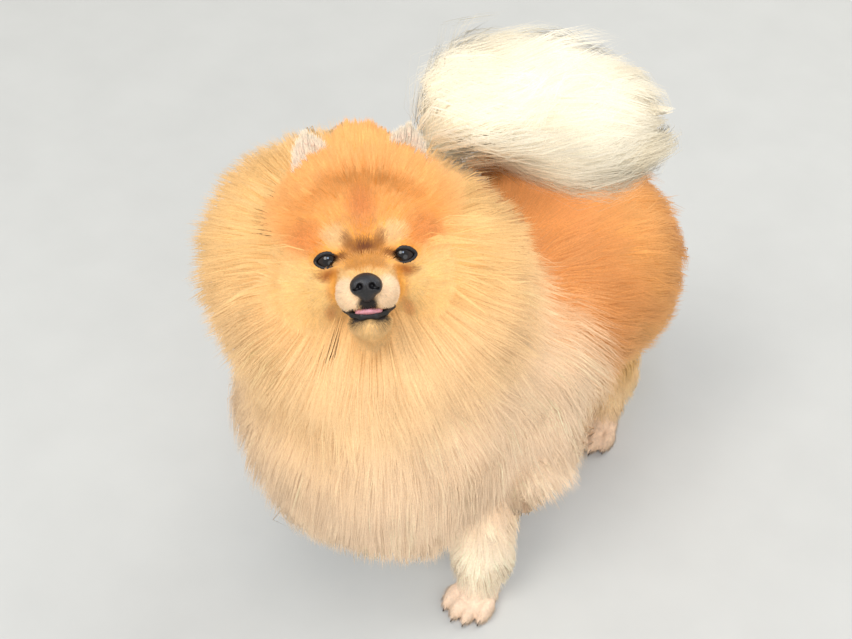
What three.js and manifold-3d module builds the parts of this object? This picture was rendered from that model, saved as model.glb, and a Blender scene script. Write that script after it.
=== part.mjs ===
// A pomeranian standing with its head turned up and to its left, life size, in millimetres.
// +Z is up, the dog faces -Y and its left side is +X. The origin is on the floor, under the middle of its
// box. Each part of the body is one closed solid. Its long coat is flat, tapered locks that lie over one
// another, on a core that reaches half way from the skin to their tips.
import * as THREE from "three";
import { mergeVertices } from "three/addons/utils/BufferGeometryUtils.js";
import Module from "manifold-3d";

const wasm = await Module();
wasm.setup();

const V = (x, y, z) => new THREE.Vector3(x, y, z);
const DEGREE = Math.PI / 180;
const UP = V(0, 0, 1);

// Driving dimensions
const GAP = 0.3; // left between neighbouring nodes
const SLIVER = 0.003; // corners of a solid closer than this are one
const SMOOTH = 20; // width over which the masses of the coat flow together

// The head: the point midway between the eyes, and how the face is turned
const FACE_AT = V(-30.3, -106.7, 267);
const FACE_TURN = 33; // degrees towards the dog's left
const FACE_PITCH = 42; // degrees up
const FACE_ROLL = 4.5; // degrees, left eye higher

// In the head's own frame the face looks along -Y from between the eyes
const EYE_RADIUS = 9.3;
const EYE_APART = 44;
const EYE_BACK = 6;
const LID_OPEN = { wide: 6.9, high: 4.7 };
const LID_THICK = 1.3;
const NOSE_AT = V(0, -29, -16.5);
const NOSE_SIZE = V(8.9, 7.4, 7.2);
const MOUTH_WIDE = 15;
const MOUTH_LOW = -31;
const EAR = {
  root: V(21, 33, 34),
  tip: V(31, 27, 72),
  wide: 27,
  thick: 2.4,
  cup: 6,
  room: 19, // depth of the pocket in the coat that it stands in
  across: 6, // faces from edge to edge
  rows: 6,
};
const TONGUE = [V(0, -9, -31.7), V(9, 11.5, 2.4)];
const NOSTRIL = { in: [V(3.5, -6.6, 0.4), V(1.9, 4.2, 2.1)], slit: [V(5.6, -4.6, -1), V(2.6, 3, 1.1)] };
const NOSE_GROOVE = [V(0, -7.6, -5), V(0.6, 2, 5)];

// Masses of the coat, out to its tips: centre and radii
const MANE = [V(-55, -71, 212), V(108, 92, 106)];
const BIB = [V(-44, -90, 128), V(100, 74, 92)];
const BIB_HEM = [V(-36, -106, 92), V(84, 58, 58)];
const BACK_COAT = [V(-6, 5, 148), V(90, 110, 84)];
const BELLY_HEM = [V(14, -34, 96), V(66, 62, 48)];
const RUMP_COAT = [V(-2, 72, 152), V(90, 82, 88)];
const PLUME = [V(-19, 84, 260), V(74, 56, 46)];
const PLUME_FRONT = [V(-42, 50, 279), V(50, 46, 27)];
const PLUME_SOURCE = V(-62, -14, 232); // what the plume's hair sweeps away from
const CROWN = [V(2, 34, 30), V(58, 38, 54)];
const CHEEK = [V(34, 27, -14), V(27, 20, 27)];
const RUFF_FACE = { lean: 14, front: -16 }; // the ruff's flat front round the face

// The body under the coat
const CHEST = [V(-22, -42, 160), V(44, 58, 50)];
const LOINS = [V(-10, 30, 152), V(38, 60, 40)];
const RUMP = [V(0, 84, 156), V(42, 46, 44)];
const NECK = [[V(-24, -60, 185), 36], [V(-46, -78, 240), 31]];
const TAIL_BONE = [[V(0, 112, 205), 9], [V(-6, 78, 244), 8], [V(-36, 50, 272), 6]];
const CORE_SHARE = 0.5; // the core's reach on the way from the skin to the tips
const LEG_SKIN = 0.5; // a leg's own radius as a share of its coat's

// Locks of each part: how many, and the sizes of the longest in millimetres
const LOCKS = {
  head: { count: 24, length: 36, width: 20, thick: 4.5, seed: 4 },
  neck: { count: 42, length: 78, width: 40, thick: 7, seed: 4 },
  chest: { count: 32, length: 78, width: 40, thick: 7, seed: 4 },
  torso: { count: 24, length: 68, width: 40, thick: 7, seed: 4 },
  hindquarters: { count: 28, length: 70, width: 40, thick: 7, seed: 4 },
  tail: { count: 23, length: 88, width: 38, thick: 7, seed: 4 },
  leg: { count: 7, length: 36, width: 18, thick: 4, seed: 4 },
};
const TRIES = 8; // places tried for each lock
const CROSSING = 0.06; // most of a lock's volume that may pass through the others
const ROOT_DEPTH = 0.1; // how far a root is sunk below the core, as a share of the coat
const CURL = 0.35; // most sideways bend of a lock, in radians
const LOCK_WIDTHS = [0.72, 1, 0.86, 0.52]; // from root to tip

// Each leg: where its paw stands, how far its toes turn out, and its joints with the coat's radius there
const LEGS = {
  fore_left: {
    paw: V(46, -102, 0),
    toesOut: 4,
    joints: [[V(46, -98, 12), 14], [V(44, -88, 34), 20], [V(33, -66, 92), 24]],
  },
  fore_right: {
    paw: V(-60, -74, 0),
    toesOut: -6,
    joints: [[V(-60, -70, 12), 14], [V(-59, -60, 34), 20], [V(-52, -52, 92), 24]],
  },
  hind_left: {
    paw: V(38, 78, 0),
    toesOut: 8,
    joints: [[V(38, 86, 12), 13], [V(38, 103, 44), 16], [V(38, 84, 92), 28]],
  },
  hind_right: {
    paw: V(-44, 90, 0),
    toesOut: -8,
    joints: [[V(-43, 98, 12), 13], [V(-41, 114, 44), 16], [V(-38, 92, 92), 28]],
  },
};
const PAW_TOP = 17;
const LEG_COVER = 66; // above this the body's coat hides the leg
const TOES = 4;
const TOE_SPREAD = 8.2;

// Shapes are distance functions: negative inside, in millimetres
function ellipsoid([centre, radii]) {
  return (p) => {
    const x = (p.x - centre.x) / radii.x;
    const y = (p.y - centre.y) / radii.y;
    const z = (p.z - centre.z) / radii.z;
    const far = Math.hypot(x, y, z);
    const slope = Math.hypot(x / radii.x, y / radii.y, z / radii.z);
    return slope < 1e-9 ? -Math.min(radii.x, radii.y, radii.z) : (far * (far - 1)) / slope;
  };
}

function taper([start, startRadius], [end, endRadius]) {
  const along = end.clone().sub(start);
  const q = V(0, 0, 0);
  return (p) => {
    const t = THREE.MathUtils.clamp(q.copy(p).sub(start).dot(along) / along.lengthSq(), 0, 1);
    const radius = THREE.MathUtils.lerp(startRadius, endRadius, t);
    return q.copy(start).addScaledVector(along, t).distanceTo(p) - radius;
  };
}

// Several shapes flow into each other over the given width.
function blend(width, ...shapes) {
  return (p) =>
    shapes
      .map((shape) => shape(p))
      .reduce((least, d) => {
        const near = Math.max(width - Math.abs(least - d), 0) / width;
        return Math.min(least, d) - (near * near * width) / 4;
      });
}

// What lies in both shapes, with a rounded edge where they meet.
function common(width, a, b) {
  const joined = blend(width, (p) => -a(p), (p) => -b(p));
  return (p) => -joined(p);
}

function placed(shape, matrix) {
  const inverse = matrix.clone().invert();
  const q = V(0, 0, 0);
  return (p) => shape(q.copy(p).applyMatrix4(inverse));
}

const HEAD_FRAME = new THREE.Matrix4()
  .makeRotationFromEuler(
    new THREE.Euler(-FACE_PITCH * DEGREE, -FACE_ROLL * DEGREE, FACE_TURN * DEGREE, "ZXY"),
  )
  .setPosition(FACE_AT);

// Closed solids from points and faces
function solidOf(geometry, matrix) {
  const bare = geometry.clone();
  bare.deleteAttribute("normal");
  bare.deleteAttribute("uv");
  if (matrix) bare.applyMatrix4(matrix);
  const merged = mergeVertices(bare, 1e-4);
  return new wasm.Manifold(
    new wasm.Mesh({
      numProp: 3,
      vertProperties: new Float32Array(merged.attributes.position.array),
      triVerts: new Uint32Array(merged.index.array),
    }),
  );
}

function solidFrom(points, faces) {
  const build = (list) => {
    const geometry = new THREE.BufferGeometry();
    const numbers = points.flatMap((p) => [p.x, p.y, p.z]);
    geometry.setAttribute("position", new THREE.Float32BufferAttribute(numbers, 3));
    geometry.setIndex(list.flat());
    return solidOf(geometry);
  };
  const solid = build(faces);
  return solid.volume() > 0 ? solid : build(faces.map(([a, b, c]) => [a, c, b]));
}

// How far the surface is from an inner point in one direction.
function surfaceAlong(distance, from, way, reach) {
  const p = V(0, 0, 0);
  const at = (far) => distance(p.copy(from).addScaledVector(way, far));
  const step = reach / 60;
  let high = step;
  while (high < reach && at(high) < 0) high += step;
  if (high >= reach) return reach;
  let low = high - step;
  for (let i = 0; i < 20; i++) {
    const middle = (low + high) / 2;
    if (at(middle) > 0) high = middle;
    else low = middle;
  }
  return low;
}

// A closed skin round a shape, met by rays that fan out from the line between two inner points.
function wrap(distance, tail, nose, { rings, sides, reach, swell = 0 }) {
  const swollen = (p) => distance(p) - swell;
  const axis = nose.clone().sub(tail).normalize();
  const right = axis.clone().cross(Math.abs(axis.z) > 0.9 ? V(0, 1, 0) : UP).normalize();
  const up = right.clone().cross(axis);
  const points = [];
  for (let i = 0; i <= rings; i++) {
    const polar = (Math.PI * i) / rings;
    const from = tail.clone().lerp(nose, (1 - Math.cos(polar)) / 2);
    const around = i % rings ? sides : 1;
    for (let j = 0; j < around; j++) {
      const turn = (2 * Math.PI * j) / sides;
      const way = axis
        .clone()
        .multiplyScalar(-Math.cos(polar))
        .addScaledVector(right, Math.sin(polar) * Math.cos(turn))
        .addScaledVector(up, Math.sin(polar) * Math.sin(turn));
      points.push(from.clone().addScaledVector(way, surfaceAlong(swollen, from, way, reach)));
    }
  }
  const last = points.length - 1;
  const at = (ring, side) => 1 + (ring - 1) * sides + (side % sides);
  const faces = [];
  for (let j = 0; j < sides; j++) {
    faces.push([0, at(1, j), at(1, j + 1)], [last, at(rings - 1, j + 1), at(rings - 1, j)]);
    for (let i = 1; i < rings - 1; i++) {
      faces.push([at(i, j), at(i + 1, j), at(i + 1, j + 1)], [at(i, j), at(i + 1, j + 1), at(i, j + 1)]);
    }
  }
  return solidFrom(points, faces);
}

// A ball squeezed to the given radii.
function ball([centre, radii], sides = 14, rings = 9) {
  const matrix = new THREE.Matrix4().makeScale(radii.x, radii.y, radii.z).setPosition(centre);
  return solidOf(new THREE.SphereGeometry(1, sides, rings).rotateX(Math.PI / 2), matrix);
}

// The far side of a plane, as a block big enough for the whole dog.
function beyond(point, normal) {
  const size = 900;
  const turn = new THREE.Quaternion().setFromUnitVectors(UP, normal.clone().normalize());
  const matrix = new THREE.Matrix4().makeRotationFromQuaternion(turn).setPosition(point);
  return solidOf(new THREE.BoxGeometry(size, size, size).translate(0, 0, size / 2), matrix);
}

// A cone that opens along its axis, cut off square at its narrow end.
function funnel(point, axis, narrow, slope, length, sides = 24) {
  const profile = [[0, 0], [narrow, 0], [narrow + slope * length, length], [0, length]];
  const lathe = new THREE.LatheGeometry(profile.map(([x, y]) => new THREE.Vector2(x, y)), sides);
  const turn = new THREE.Quaternion().setFromUnitVectors(V(0, 1, 0), axis.clone().normalize());
  const matrix = new THREE.Matrix4().makeRotationFromQuaternion(turn).setPosition(point);
  const solid = solidOf(lathe, matrix);
  return solid.volume() > 0 ? solid : solidOf(flipped(lathe), matrix);
}

function flipped(geometry) {
  const index = Array.from(geometry.index.array);
  for (let i = 0; i < index.length; i += 3) [index[i + 1], index[i + 2]] = [index[i + 2], index[i + 1]];
  return geometry.clone().setIndex(index);
}

function largest(solid) {
  return solid.decompose().reduce((best, piece) => (piece.volume() > best.volume() ? piece : best));
}

function cutBy(solid, ...cutters) {
  return cutters.reduce((left, cutter) => left.subtract(cutter), solid);
}

function join(solid, ...others) {
  return others.reduce((whole, other) => whole.add(other), solid);
}

// The coat out to its tips, and the skin under it, as distance functions
const mirrored = (p, sign) => V(sign * p.x, p.y, p.z);
const onBothSides = ([centre, radii]) => [1, -1].map((sign) => ellipsoid([mirrored(centre, sign), radii]));
const chain = (width, joints) => blend(width, ...joints.slice(1).map((joint, i) => taper(joints[i], joint)));
const RUFF_NORMAL = V(0, -Math.cos(RUFF_FACE.lean * DEGREE), Math.sin(RUFF_FACE.lean * DEGREE));
const ruffFront = (p) => p.dot(RUFF_NORMAL) - RUFF_FACE.front;
const maneTips = common(40, ellipsoid(MANE), placed(ruffFront, HEAD_FRAME));
const bibTips = blend(SMOOTH, ellipsoid(BIB), ellipsoid(BIB_HEM));
const backTips = blend(SMOOTH, ellipsoid(BACK_COAT), ellipsoid(BELLY_HEM));
const bodyTips = blend(SMOOTH, maneTips, bibTips, backTips, ellipsoid(RUMP_COAT));
const bodySkin = blend(SMOOTH, ellipsoid(CHEST), ellipsoid(LOINS), ellipsoid(RUMP), taper(...NECK));
const plumeTips = blend(SMOOTH, ellipsoid(PLUME), ellipsoid(PLUME_FRONT));
const tailSkin = chain(8, TAIL_BONE);

// The face under its short hair, in the head's frame
const eyeCentre = (side) => V((side * EYE_APART) / 2, EYE_BACK, 0);
const faceForm = blend(
  9,
  ellipsoid([V(0, 34, 8), V(33, 39, 30)]),
  ellipsoid([V(0, 12, -3), V(34, 14.5, 20)]),
  taper([V(0, 2, -13), 19], [V(0, -15, -18), 13]),
  ...onBothSides([V(7.5, -13, -21), V(9, 12, 9)]),
  ...onBothSides([V(24, 20, -16), V(17, 20, 16)]),
);
const headTips = blend(14, faceForm, ellipsoid(CROWN), ...onBothSides(CHEEK));
const jawForm = blend(
  6,
  taper([V(0, 16, -38), 13], [V(0, -11, -38.5), 7]),
  ellipsoid([V(0, -7, -37.5), V(12, 13, 7)]),
);

// Where one node of the coat ends and the next begins. Each surface leans with the lie of the coat.
const FORE_CELL = { at: V(-20, -60, 152), narrow: 23, slope: 1.1 };
const HIND_CELL = { at: V(-4, 34, 152), narrow: 26, slope: 1.3 };
const BIB_PLANE = { at: V(-30, -70, 165), normal: V(0, -0.35, 0.94) };
const TAIL_PLANE = { at: V(0, 40, 221), normal: V(0, 0.1, 1) };
const NAPE_PLANE = { at: V(-40, -12, 225), normal: V(0, 0.93, -0.37) };

// A boundary moved back by half the gap, seen from either of its two sides.
function behindCell({ at, narrow, slope }, extra) {
  return funnel(at.clone().add(V(0, -extra, 0)), V(0, 1, 0), narrow + extra, slope, 260);
}

function side({ at, normal }, sign, extra = GAP / 2) {
  const way = normal.clone().normalize().multiplyScalar(sign);
  return beyond(at.clone().addScaledVector(way, extra), way);
}

const isAbove = ({ at, normal }, p) => p.clone().sub(at).dot(normal) > 0;
const isBehind = ({ at, narrow, slope }, p) => {
  return p.y > at.y && Math.hypot(p.x - at.x, p.z - at.z) < narrow + slope * (p.y - at.y);
};

// The same numbers on every run, from 0 to 1.
function seeded(seed) {
  let state = seed;
  return () => {
    state = (state * 1664525 + 1013904223) % 4294967296;
    return state / 4294967296;
  };
}

function gradient(distance, p) {
  const step = 1;
  const at = (x, y, z) => distance(V(p.x + x, p.y + y, p.z + z));
  return V(
    at(step, 0, 0) - at(-step, 0, 0),
    at(0, step, 0) - at(0, -step, 0),
    at(0, 0, step) - at(0, 0, -step),
  ).normalize();
}

// The surface that lies a share of the way from the skin to the tips.
const between = (skin, tips, share) => (p) => THREE.MathUtils.lerp(skin(p), tips(p), share);

// One lock: it leaves the core, follows the lie of the coat and ends in a tip at the coat's surface.
function lock({ skin, tips, lie, sizes }, root, random) {
  const steps = LOCK_WIDTHS.length;
  const curl = (2 * random() - 1) * CURL;
  const long = 0.78 + 0.22 * random();
  const left = -tips(root) * 0.1 * random(); // how far under the surface this lock ends
  const size = THREE.MathUtils.clamp(-tips(root) / (sizes.length * 0.3), 0.5, 1);
  const points = [];
  const p = root.clone().addScaledVector(gradient(skin, root), tips(root) * ROOT_DEPTH * 2);
  for (let i = 0; i <= steps; i++) {
    const along = i / steps;
    const out = gradient(tips, p);
    const fall = lie(p).normalize();
    const flat = fall.clone().projectOnPlane(out).applyAxisAngle(out, curl * (2 * along - 0.6));
    const rise = (-tips(p) - left) / Math.max(steps - i, 1);
    const way = flat.clone().multiplyScalar((sizes.length * long * size) / steps).addScaledVector(out, rise);
    const across = way.clone().cross(out).addScaledVector(V(1, 0.3, 0), 0.02).normalize();
    const face = across.clone().cross(way).normalize();
    if (i === steps) {
      points.push(p.clone());
    } else {
      const half = 0.5 * sizes.width * LOCK_WIDTHS[i] * size;
      points.push(
        p.clone().addScaledVector(across, half),
        p.clone().addScaledVector(across, -half),
        p.clone().addScaledVector(face, sizes.thick * (1 - 0.5 * along) * size),
      );
      p.add(way);
    }
  }
  const faces = [[0, 1, 2]];
  for (let i = 0; i < steps - 1; i++) {
    for (let k = 0; k < 3; k++) {
      const [a, b] = [3 * i + k, 3 * i + ((k + 1) % 3)];
      faces.push([a, a + 3, b + 3], [a, b + 3, b]);
    }
  }
  const ring = 3 * (steps - 1);
  for (let k = 0; k < 3; k++) faces.push([ring + k, 3 * steps, ring + ((k + 1) % 3)]);
  return solidFrom(points, faces);
}

// A core with its locks, set evenly over it where the test says that this part of the coat grows.
function dressed(coat, tail, nose, { rings, sides, reach }, grows) {
  const core = between(coat.skin, coat.tips, CORE_SHARE);
  const random = seeded(coat.sizes.seed);
  const axis = nose.clone().sub(tail).normalize();
  const right = axis.clone().cross(Math.abs(axis.z) > 0.9 ? V(0, 1, 0) : UP).normalize();
  const up = right.clone().cross(axis);
  const whole = wrap(core, tail, nose, { rings, sides, reach });
  let locks = null;
  let grown = 0;
  const total = coat.sizes.count * TRIES;
  for (let k = 0; k < total && grown < coat.sizes.count; k++) {
    const share = ((k + 0.5) * TRIES) % total / total;
    const sine = Math.sqrt(1 - (1 - 2 * share) ** 2);
    const turn = k * Math.PI * (3 - Math.sqrt(5));
    const way = axis
      .clone()
      .multiplyScalar(2 * share - 1)
      .addScaledVector(right, sine * Math.cos(turn))
      .addScaledVector(up, sine * Math.sin(turn));
    const from = tail.clone().lerp(nose, share);
    const root = from.clone().addScaledVector(way, surfaceAlong(core, from, way, reach));
    if (!grows(root)) continue;
    const next = lock(coat, root, random);
    if (locks && locks.intersect(next).volume() > CROSSING * next.volume()) continue;
    locks = locks ? locks.add(next) : next;
    grown += 1;
  }
  return whole.add(locks);
}

// Legs and paws
const legTips = ({ joints }) => chain(8, joints);

function legSolid({ joints }, swell) {
  const size = { rings: 8, sides: 12, reach: 90, swell };
  return wrap(legTips({ joints }), joints[1][0], joints[2][0], size);
}

// A leg is slender and dressed in locks below the body's coat, and as wide as its coat inside that.
function limbSolid(leg) {
  const { joints } = leg;
  const skin = chain(8, joints.map(([at, radius]) => [at, radius * LEG_SKIN]));
  const coat = { skin, tips: legTips(leg), lie: () => V(0, 0.25, -1), sizes: LOCKS.leg };
  const [[foot], [low], [high]] = joints;
  const grows = ({ z }) => z > PAW_TOP + 16 && z < LEG_COVER + 14;
  const body = dressed(coat, high, foot.clone().lerp(low, 0.6), { rings: 8, sides: 8, reach: 70 }, grows);
  const covered = legSolid(leg, 0).intersect(beyond(V(0, 0, LEG_COVER), UP));
  return join(body, covered).intersect(legSolid(leg, 0));
}

function pawSolid({ paw, toesOut }) {
  const matrix = new THREE.Matrix4().makeRotationZ(toesOut * DEGREE).setPosition(paw);
  const pad = ball([V(0, 6, 7), V(15, 16, 12)], 8, 5);
  const toes = Array.from({ length: TOES }, (_, i) => {
    const across = i - (TOES - 1) / 2;
    const forward = -12 + 2.6 * across * across;
    return ball([V(across * TOE_SPREAD, forward, 6), V(5.6, 11, 7.5)], 6, 4);
  });
  const claws = Array.from({ length: TOES }, (_, i) => {
    const across = i - (TOES - 1) / 2;
    const forward = -21.5 + 2.6 * across * across;
    return ball([V(across * TOE_SPREAD * 1.04, forward, 3.6), V(1.4, 4.2, 1.8)], 4, 3);
  });
  const whole = join(pad, ...toes, ...claws);
  const standing = new THREE.Matrix4().copy(matrix).elements;
  return whole.transform(standing);
}

// Face pieces
function lids(sideSign) {
  const centre = eyeCentre(sideSign);
  const steps = 16;
  const points = [];
  const faces = [];
  const clear = EYE_RADIUS + GAP + 0.2;
  for (let i = 0; i < steps; i++) {
    const turn = (2 * Math.PI * i) / steps;
    const corner = Math.abs(Math.cos(turn)) ** 3;
    const wide = Math.cos(turn) * LID_OPEN.wide;
    const high = Math.sin(turn) * LID_OPEN.high * (1 - 0.25 * corner);
    const inner = V(wide, 0, high);
    const outer = V(Math.cos(turn) * 9.2, 0, Math.sin(turn) * 8.2);
    const onto = (flat, radius) =>
      V(flat.x, -Math.sqrt(Math.max(radius ** 2 - flat.x ** 2 - flat.z ** 2, 0.1)), flat.z).add(centre);
    points.push(
      onto(inner, clear),
      onto(inner.clone().multiplyScalar(1.04), clear + LID_THICK),
      onto(outer, clear + LID_THICK * 0.9),
      onto(outer, clear),
    );
    const next = (i + 1) % steps;
    for (let k = 0; k < 4; k++) {
      const a = i * 4 + k;
      const b = i * 4 + ((k + 1) % 4);
      const c = next * 4 + ((k + 1) % 4);
      const d = next * 4 + k;
      faces.push([a, b, c], [a, c, d]);
    }
  }
  return solidFrom(points, faces);
}

function noseSolid() {
  const hollow = ([centre, radii], sign, sides, rings) => {
    return ball([mirrored(centre, sign).add(NOSE_AT), radii], sides, rings);
  };
  const nostrils = [-1, 1].flatMap((sign) => [
    hollow(NOSTRIL.in, sign, 7, 5),
    hollow(NOSTRIL.slit, sign, 6, 4),
  ]);
  const groove = hollow(NOSE_GROOVE, 1, 6, 4);
  return cutBy(ball([NOSE_AT, NOSE_SIZE], 12, 8), ...nostrils, groove);
}

// An ear's own frame: X to its outer edge, Y back from its cup, Z to its tip. Its root is the origin.
function earFrame(sign) {
  const root = mirrored(EAR.root, sign);
  const up = mirrored(EAR.tip, sign).sub(root).normalize();
  const back = up.clone().cross(V(sign, 0.25, 0)).normalize();
  if (back.y < 0) back.negate();
  return new THREE.Matrix4().makeBasis(back.clone().cross(up), back, up).setPosition(root);
}

// A cupped ear: a leaf with the same triangles on both faces.
function earSolid(sign) {
  const { across, rows, wide, thick, cup } = EAR;
  const tall = EAR.tip.distanceTo(EAR.root);
  const place = (s, t, depth) => {
    const half = (wide / 2) * Math.cos((Math.PI / 2) * s ** 1.6) ** 0.75;
    return V(t * half, cup * (1 - s * 0.7) * (1 - t * t) + depth * (1 - 0.55 * Math.abs(t)), s * tall);
  };
  const points = [];
  for (const depth of [0, thick]) {
    for (let i = 0; i < rows; i++) {
      for (let j = 0; j <= across; j++) points.push(place(i / rows, (2 * j) / across - 1, depth));
    }
    points.push(place(1, 0, depth * 0.5));
  }
  const layer = rows * (across + 1) + 1;
  const at = (i, j) => (i === rows ? layer - 1 : i * (across + 1) + j);
  const faces = [];
  for (let i = 0; i < rows; i++) {
    for (let j = 0; j < across; j++) {
      const [a, b, c, d] = [at(i, j), at(i, j + 1), at(i + 1, j + 1), at(i + 1, j)];
      const cells = i === rows - 1 ? [[a, b, c]] : [[a, b, c], [a, c, d]];
      faces.push(...cells, ...cells.map(([p, q, r]) => [p + layer, r + layer, q + layer]));
    }
    const rim = (j) => {
      const [low, high] = [at(i, j), at(i + 1, j)];
      return [[low, high, high + layer], [low, high + layer, low + layer]];
    };
    faces.push(...rim(0), ...rim(across).map(([p, q, r]) => [p, r, q]));
  }
  for (let j = 0; j < across; j++) {
    const [a, b] = [at(0, j), at(0, j + 1)];
    faces.push([a, a + layer, b + layer], [a, b + layer, b]);
  }
  return solidFrom(points, faces.map(([p, q, r]) => [p, r, q])).transform(earFrame(sign).elements);
}

// The pocket in the coat that an ear stands in, open to the front.
function earPocket(sign) {
  const { room, wide, tip, root } = EAR;
  const tall = tip.distanceTo(root) + room;
  const tube = new THREE.CylinderGeometry(wide * 0.5, wide * 0.7, tall, 10).rotateX(Math.PI / 2);
  tube.translate(0, 0, tall / 2 - GAP - 0.1).scale(1, room / wide / 0.68, 1).translate(0, -room * 0.38, 0);
  return solidOf(tube, earFrame(sign));
}

// The build
const toWorld = (solid) => solid.transform(HEAD_FRAME.elements);
const legs = Object.fromEntries(
  Object.entries(LEGS).map(([name, leg]) => {
    const aboveFloor = pawSolid(leg).intersect(beyond(V(0, 0, 0), UP));
    const paw = aboveFloor.subtract(beyond(V(0, 0, PAW_TOP - GAP / 2), UP));
    const limb = largest(limbSolid(leg).intersect(beyond(V(0, 0, PAW_TOP + GAP / 2), UP)));
    return [name, { paw, limb, pocket: legSolid(leg, GAP + 0.1) }];
  }),
);
const pockets = Object.values(legs).map(({ pocket }) => pocket);

const roundEye = (sign, extra) => {
  const radius = EYE_RADIUS + extra;
  return ball([eyeCentre(sign), V(radius, radius, radius)], 12, 8);
};
const eyes = [-1, 1].map((sign) => roundEye(sign, 0));
const sockets = [-1, 1].map((sign) => roundEye(sign, GAP + 0.2));
const ears = [-1, 1].map(earSolid);
const noseHole = ball([NOSE_AT, NOSE_SIZE.clone().addScalar(GAP + 0.1)], 12, 8);
const jawSolid = (swell) => {
  return wrap(jawForm, V(0, 16, -38), V(0, -10, -38), { rings: 8, sides: 12, reach: 60, swell });
};
const jawHole = jawSolid(GAP + 0.1);
const tongue = ball(TONGUE, 10, 6);
const tongueHole = ball([TONGUE[0], TONGUE[1].clone().addScalar(GAP + 0.2)], 10, 6);
const mouth = ball([V(0, -11, MOUTH_LOW - 1), V(MOUTH_WIDE, 17, 3.4)], 12, 6);

// In the head's frame the coat lies away from the nose, and up and back over the crown.
const headCoat = {
  skin: faceForm,
  tips: headTips,
  lie: (p) => p.clone().sub(NOSE_AT).add(V(0, 24, 0)),
  sizes: LOCKS.head,
};
const headSize = { rings: 15, sides: 18, reach: 130 };
const headLine = [V(0, 40, 18), V(0, -6, -12)];
const grownHead = dressed(headCoat, ...headLine, headSize, (p) => headTips(p) < -4 && p.y > 4);
const headRoom = 3; // how far the edges of its locks may stand past its tips
const head = largest(
  cutBy(
    join(cutBy(grownHead, ...sockets), lids(-1), lids(1)),
    noseHole,
    jawHole,
    mouth,
    earPocket(-1),
    earPocket(1),
  ),
);
const headHole = wrap(headTips, ...headLine, { ...headSize, swell: headRoom + GAP + 0.1 });

// The lie of the coat, from the face outwards and back, and down where it hangs
const face = V(0, 0, -6).applyMatrix4(HEAD_FRAME);
const faceAxis = V(0, 1, 0).transformDirection(HEAD_FRAME);
const ruffLie = (p) => {
  const away = p.clone().sub(face).projectOnPlane(faceAxis).normalize();
  return away.addScaledVector(faceAxis, 0.55).add(V(0, 0, -0.25));
};
const bibLie = (p) => V((p.x + 40) / 180, (p.y + 60) / 180, -1);
const backLie = (p) => V(0, 1, -0.55).add(V((p.x + 6) / 300, 0, 0));
const rumpLie = (p) => V((p.x + 2) / 200, 0.75, -0.85);
const plumeLie = (p) => p.clone().sub(PLUME_SOURCE).normalize().add(V(0.1, 0.1, 0));
const bodyCoat = (name, lie) => ({ skin: bodySkin, tips: bodyTips, lie, sizes: LOCKS[name] });

const neckGrown = dressed(
  bodyCoat("neck", ruffLie),
  V(-38, -46, 190),
  V(-46, -74, 226),
  { rings: 10, sides: 15, reach: 160 },
  (p) => isAbove(BIB_PLANE, p) && !isBehind(FORE_CELL, p) && !isAbove(NAPE_PLANE, p),
);
const headBlock = [headHole, jawHole, earPocket(-1), earPocket(1)].map(toWorld);
const neck = largest(
  cutBy(
    neckGrown.intersect(side(BIB_PLANE, 1)),
    ...headBlock,
    behindCell(FORE_CELL, GAP / 2),
    side(NAPE_PLANE, 1, -GAP / 2),
  ),
);
const chestGrown = dressed(
  bodyCoat("chest", bibLie),
  V(-26, -48, 116),
  V(-38, -78, 150),
  { rings: 10, sides: 15, reach: 150 },
  (p) => !isAbove(BIB_PLANE, p) && !isBehind(FORE_CELL, p),
);
const chest = largest(
  cutBy(chestGrown.intersect(side(BIB_PLANE, -1)), behindCell(FORE_CELL, GAP / 2), ...pockets),
);
const backGrown = dressed(
  bodyCoat("torso", backLie),
  V(-4, 60, 150),
  V(-14, -30, 150),
  { rings: 10, sides: 15, reach: 150 },
  (p) => isBehind(FORE_CELL, p) && !isBehind(HIND_CELL, p) && !isAbove(TAIL_PLANE, p),
);
const torso = largest(
  cutBy(
    backGrown.intersect(behindCell(FORE_CELL, -GAP / 2)),
    behindCell(HIND_CELL, GAP / 2),
    side(TAIL_PLANE, 1, -GAP / 2),
    ...pockets,
  ),
);
const rumpGrown = dressed(
  bodyCoat("hindquarters", rumpLie),
  V(0, 100, 150),
  V(-2, 50, 150),
  { rings: 10, sides: 15, reach: 150 },
  (p) => isBehind(HIND_CELL, p) && !isAbove(TAIL_PLANE, p),
);
const hindquarters = largest(
  cutBy(rumpGrown.intersect(behindCell(HIND_CELL, -GAP / 2)), side(TAIL_PLANE, 1, -GAP / 2), ...pockets),
);
const plumeGrown = dressed(
  { skin: tailSkin, tips: plumeTips, lie: plumeLie, sizes: LOCKS.tail },
  V(-4, 90, 238),
  V(-32, 54, 266),
  { rings: 10, sides: 14, reach: 130 },
  (p) => isAbove(TAIL_PLANE, p),
);
const tail = largest(cutBy(plumeGrown.intersect(side(TAIL_PLANE, 1)), side(NAPE_PLANE, -1, -GAP / 2)));

const COLOURS = {
  orange: "#c9823f",
  golden: "#dca564",
  cream: "#e6c493",
  pale: "#efdcb9",
  skin: "#c49a84",
  black: "#1b1716",
  eye: "#1a1210",
  tongue: "#d0818a",
};

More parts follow.
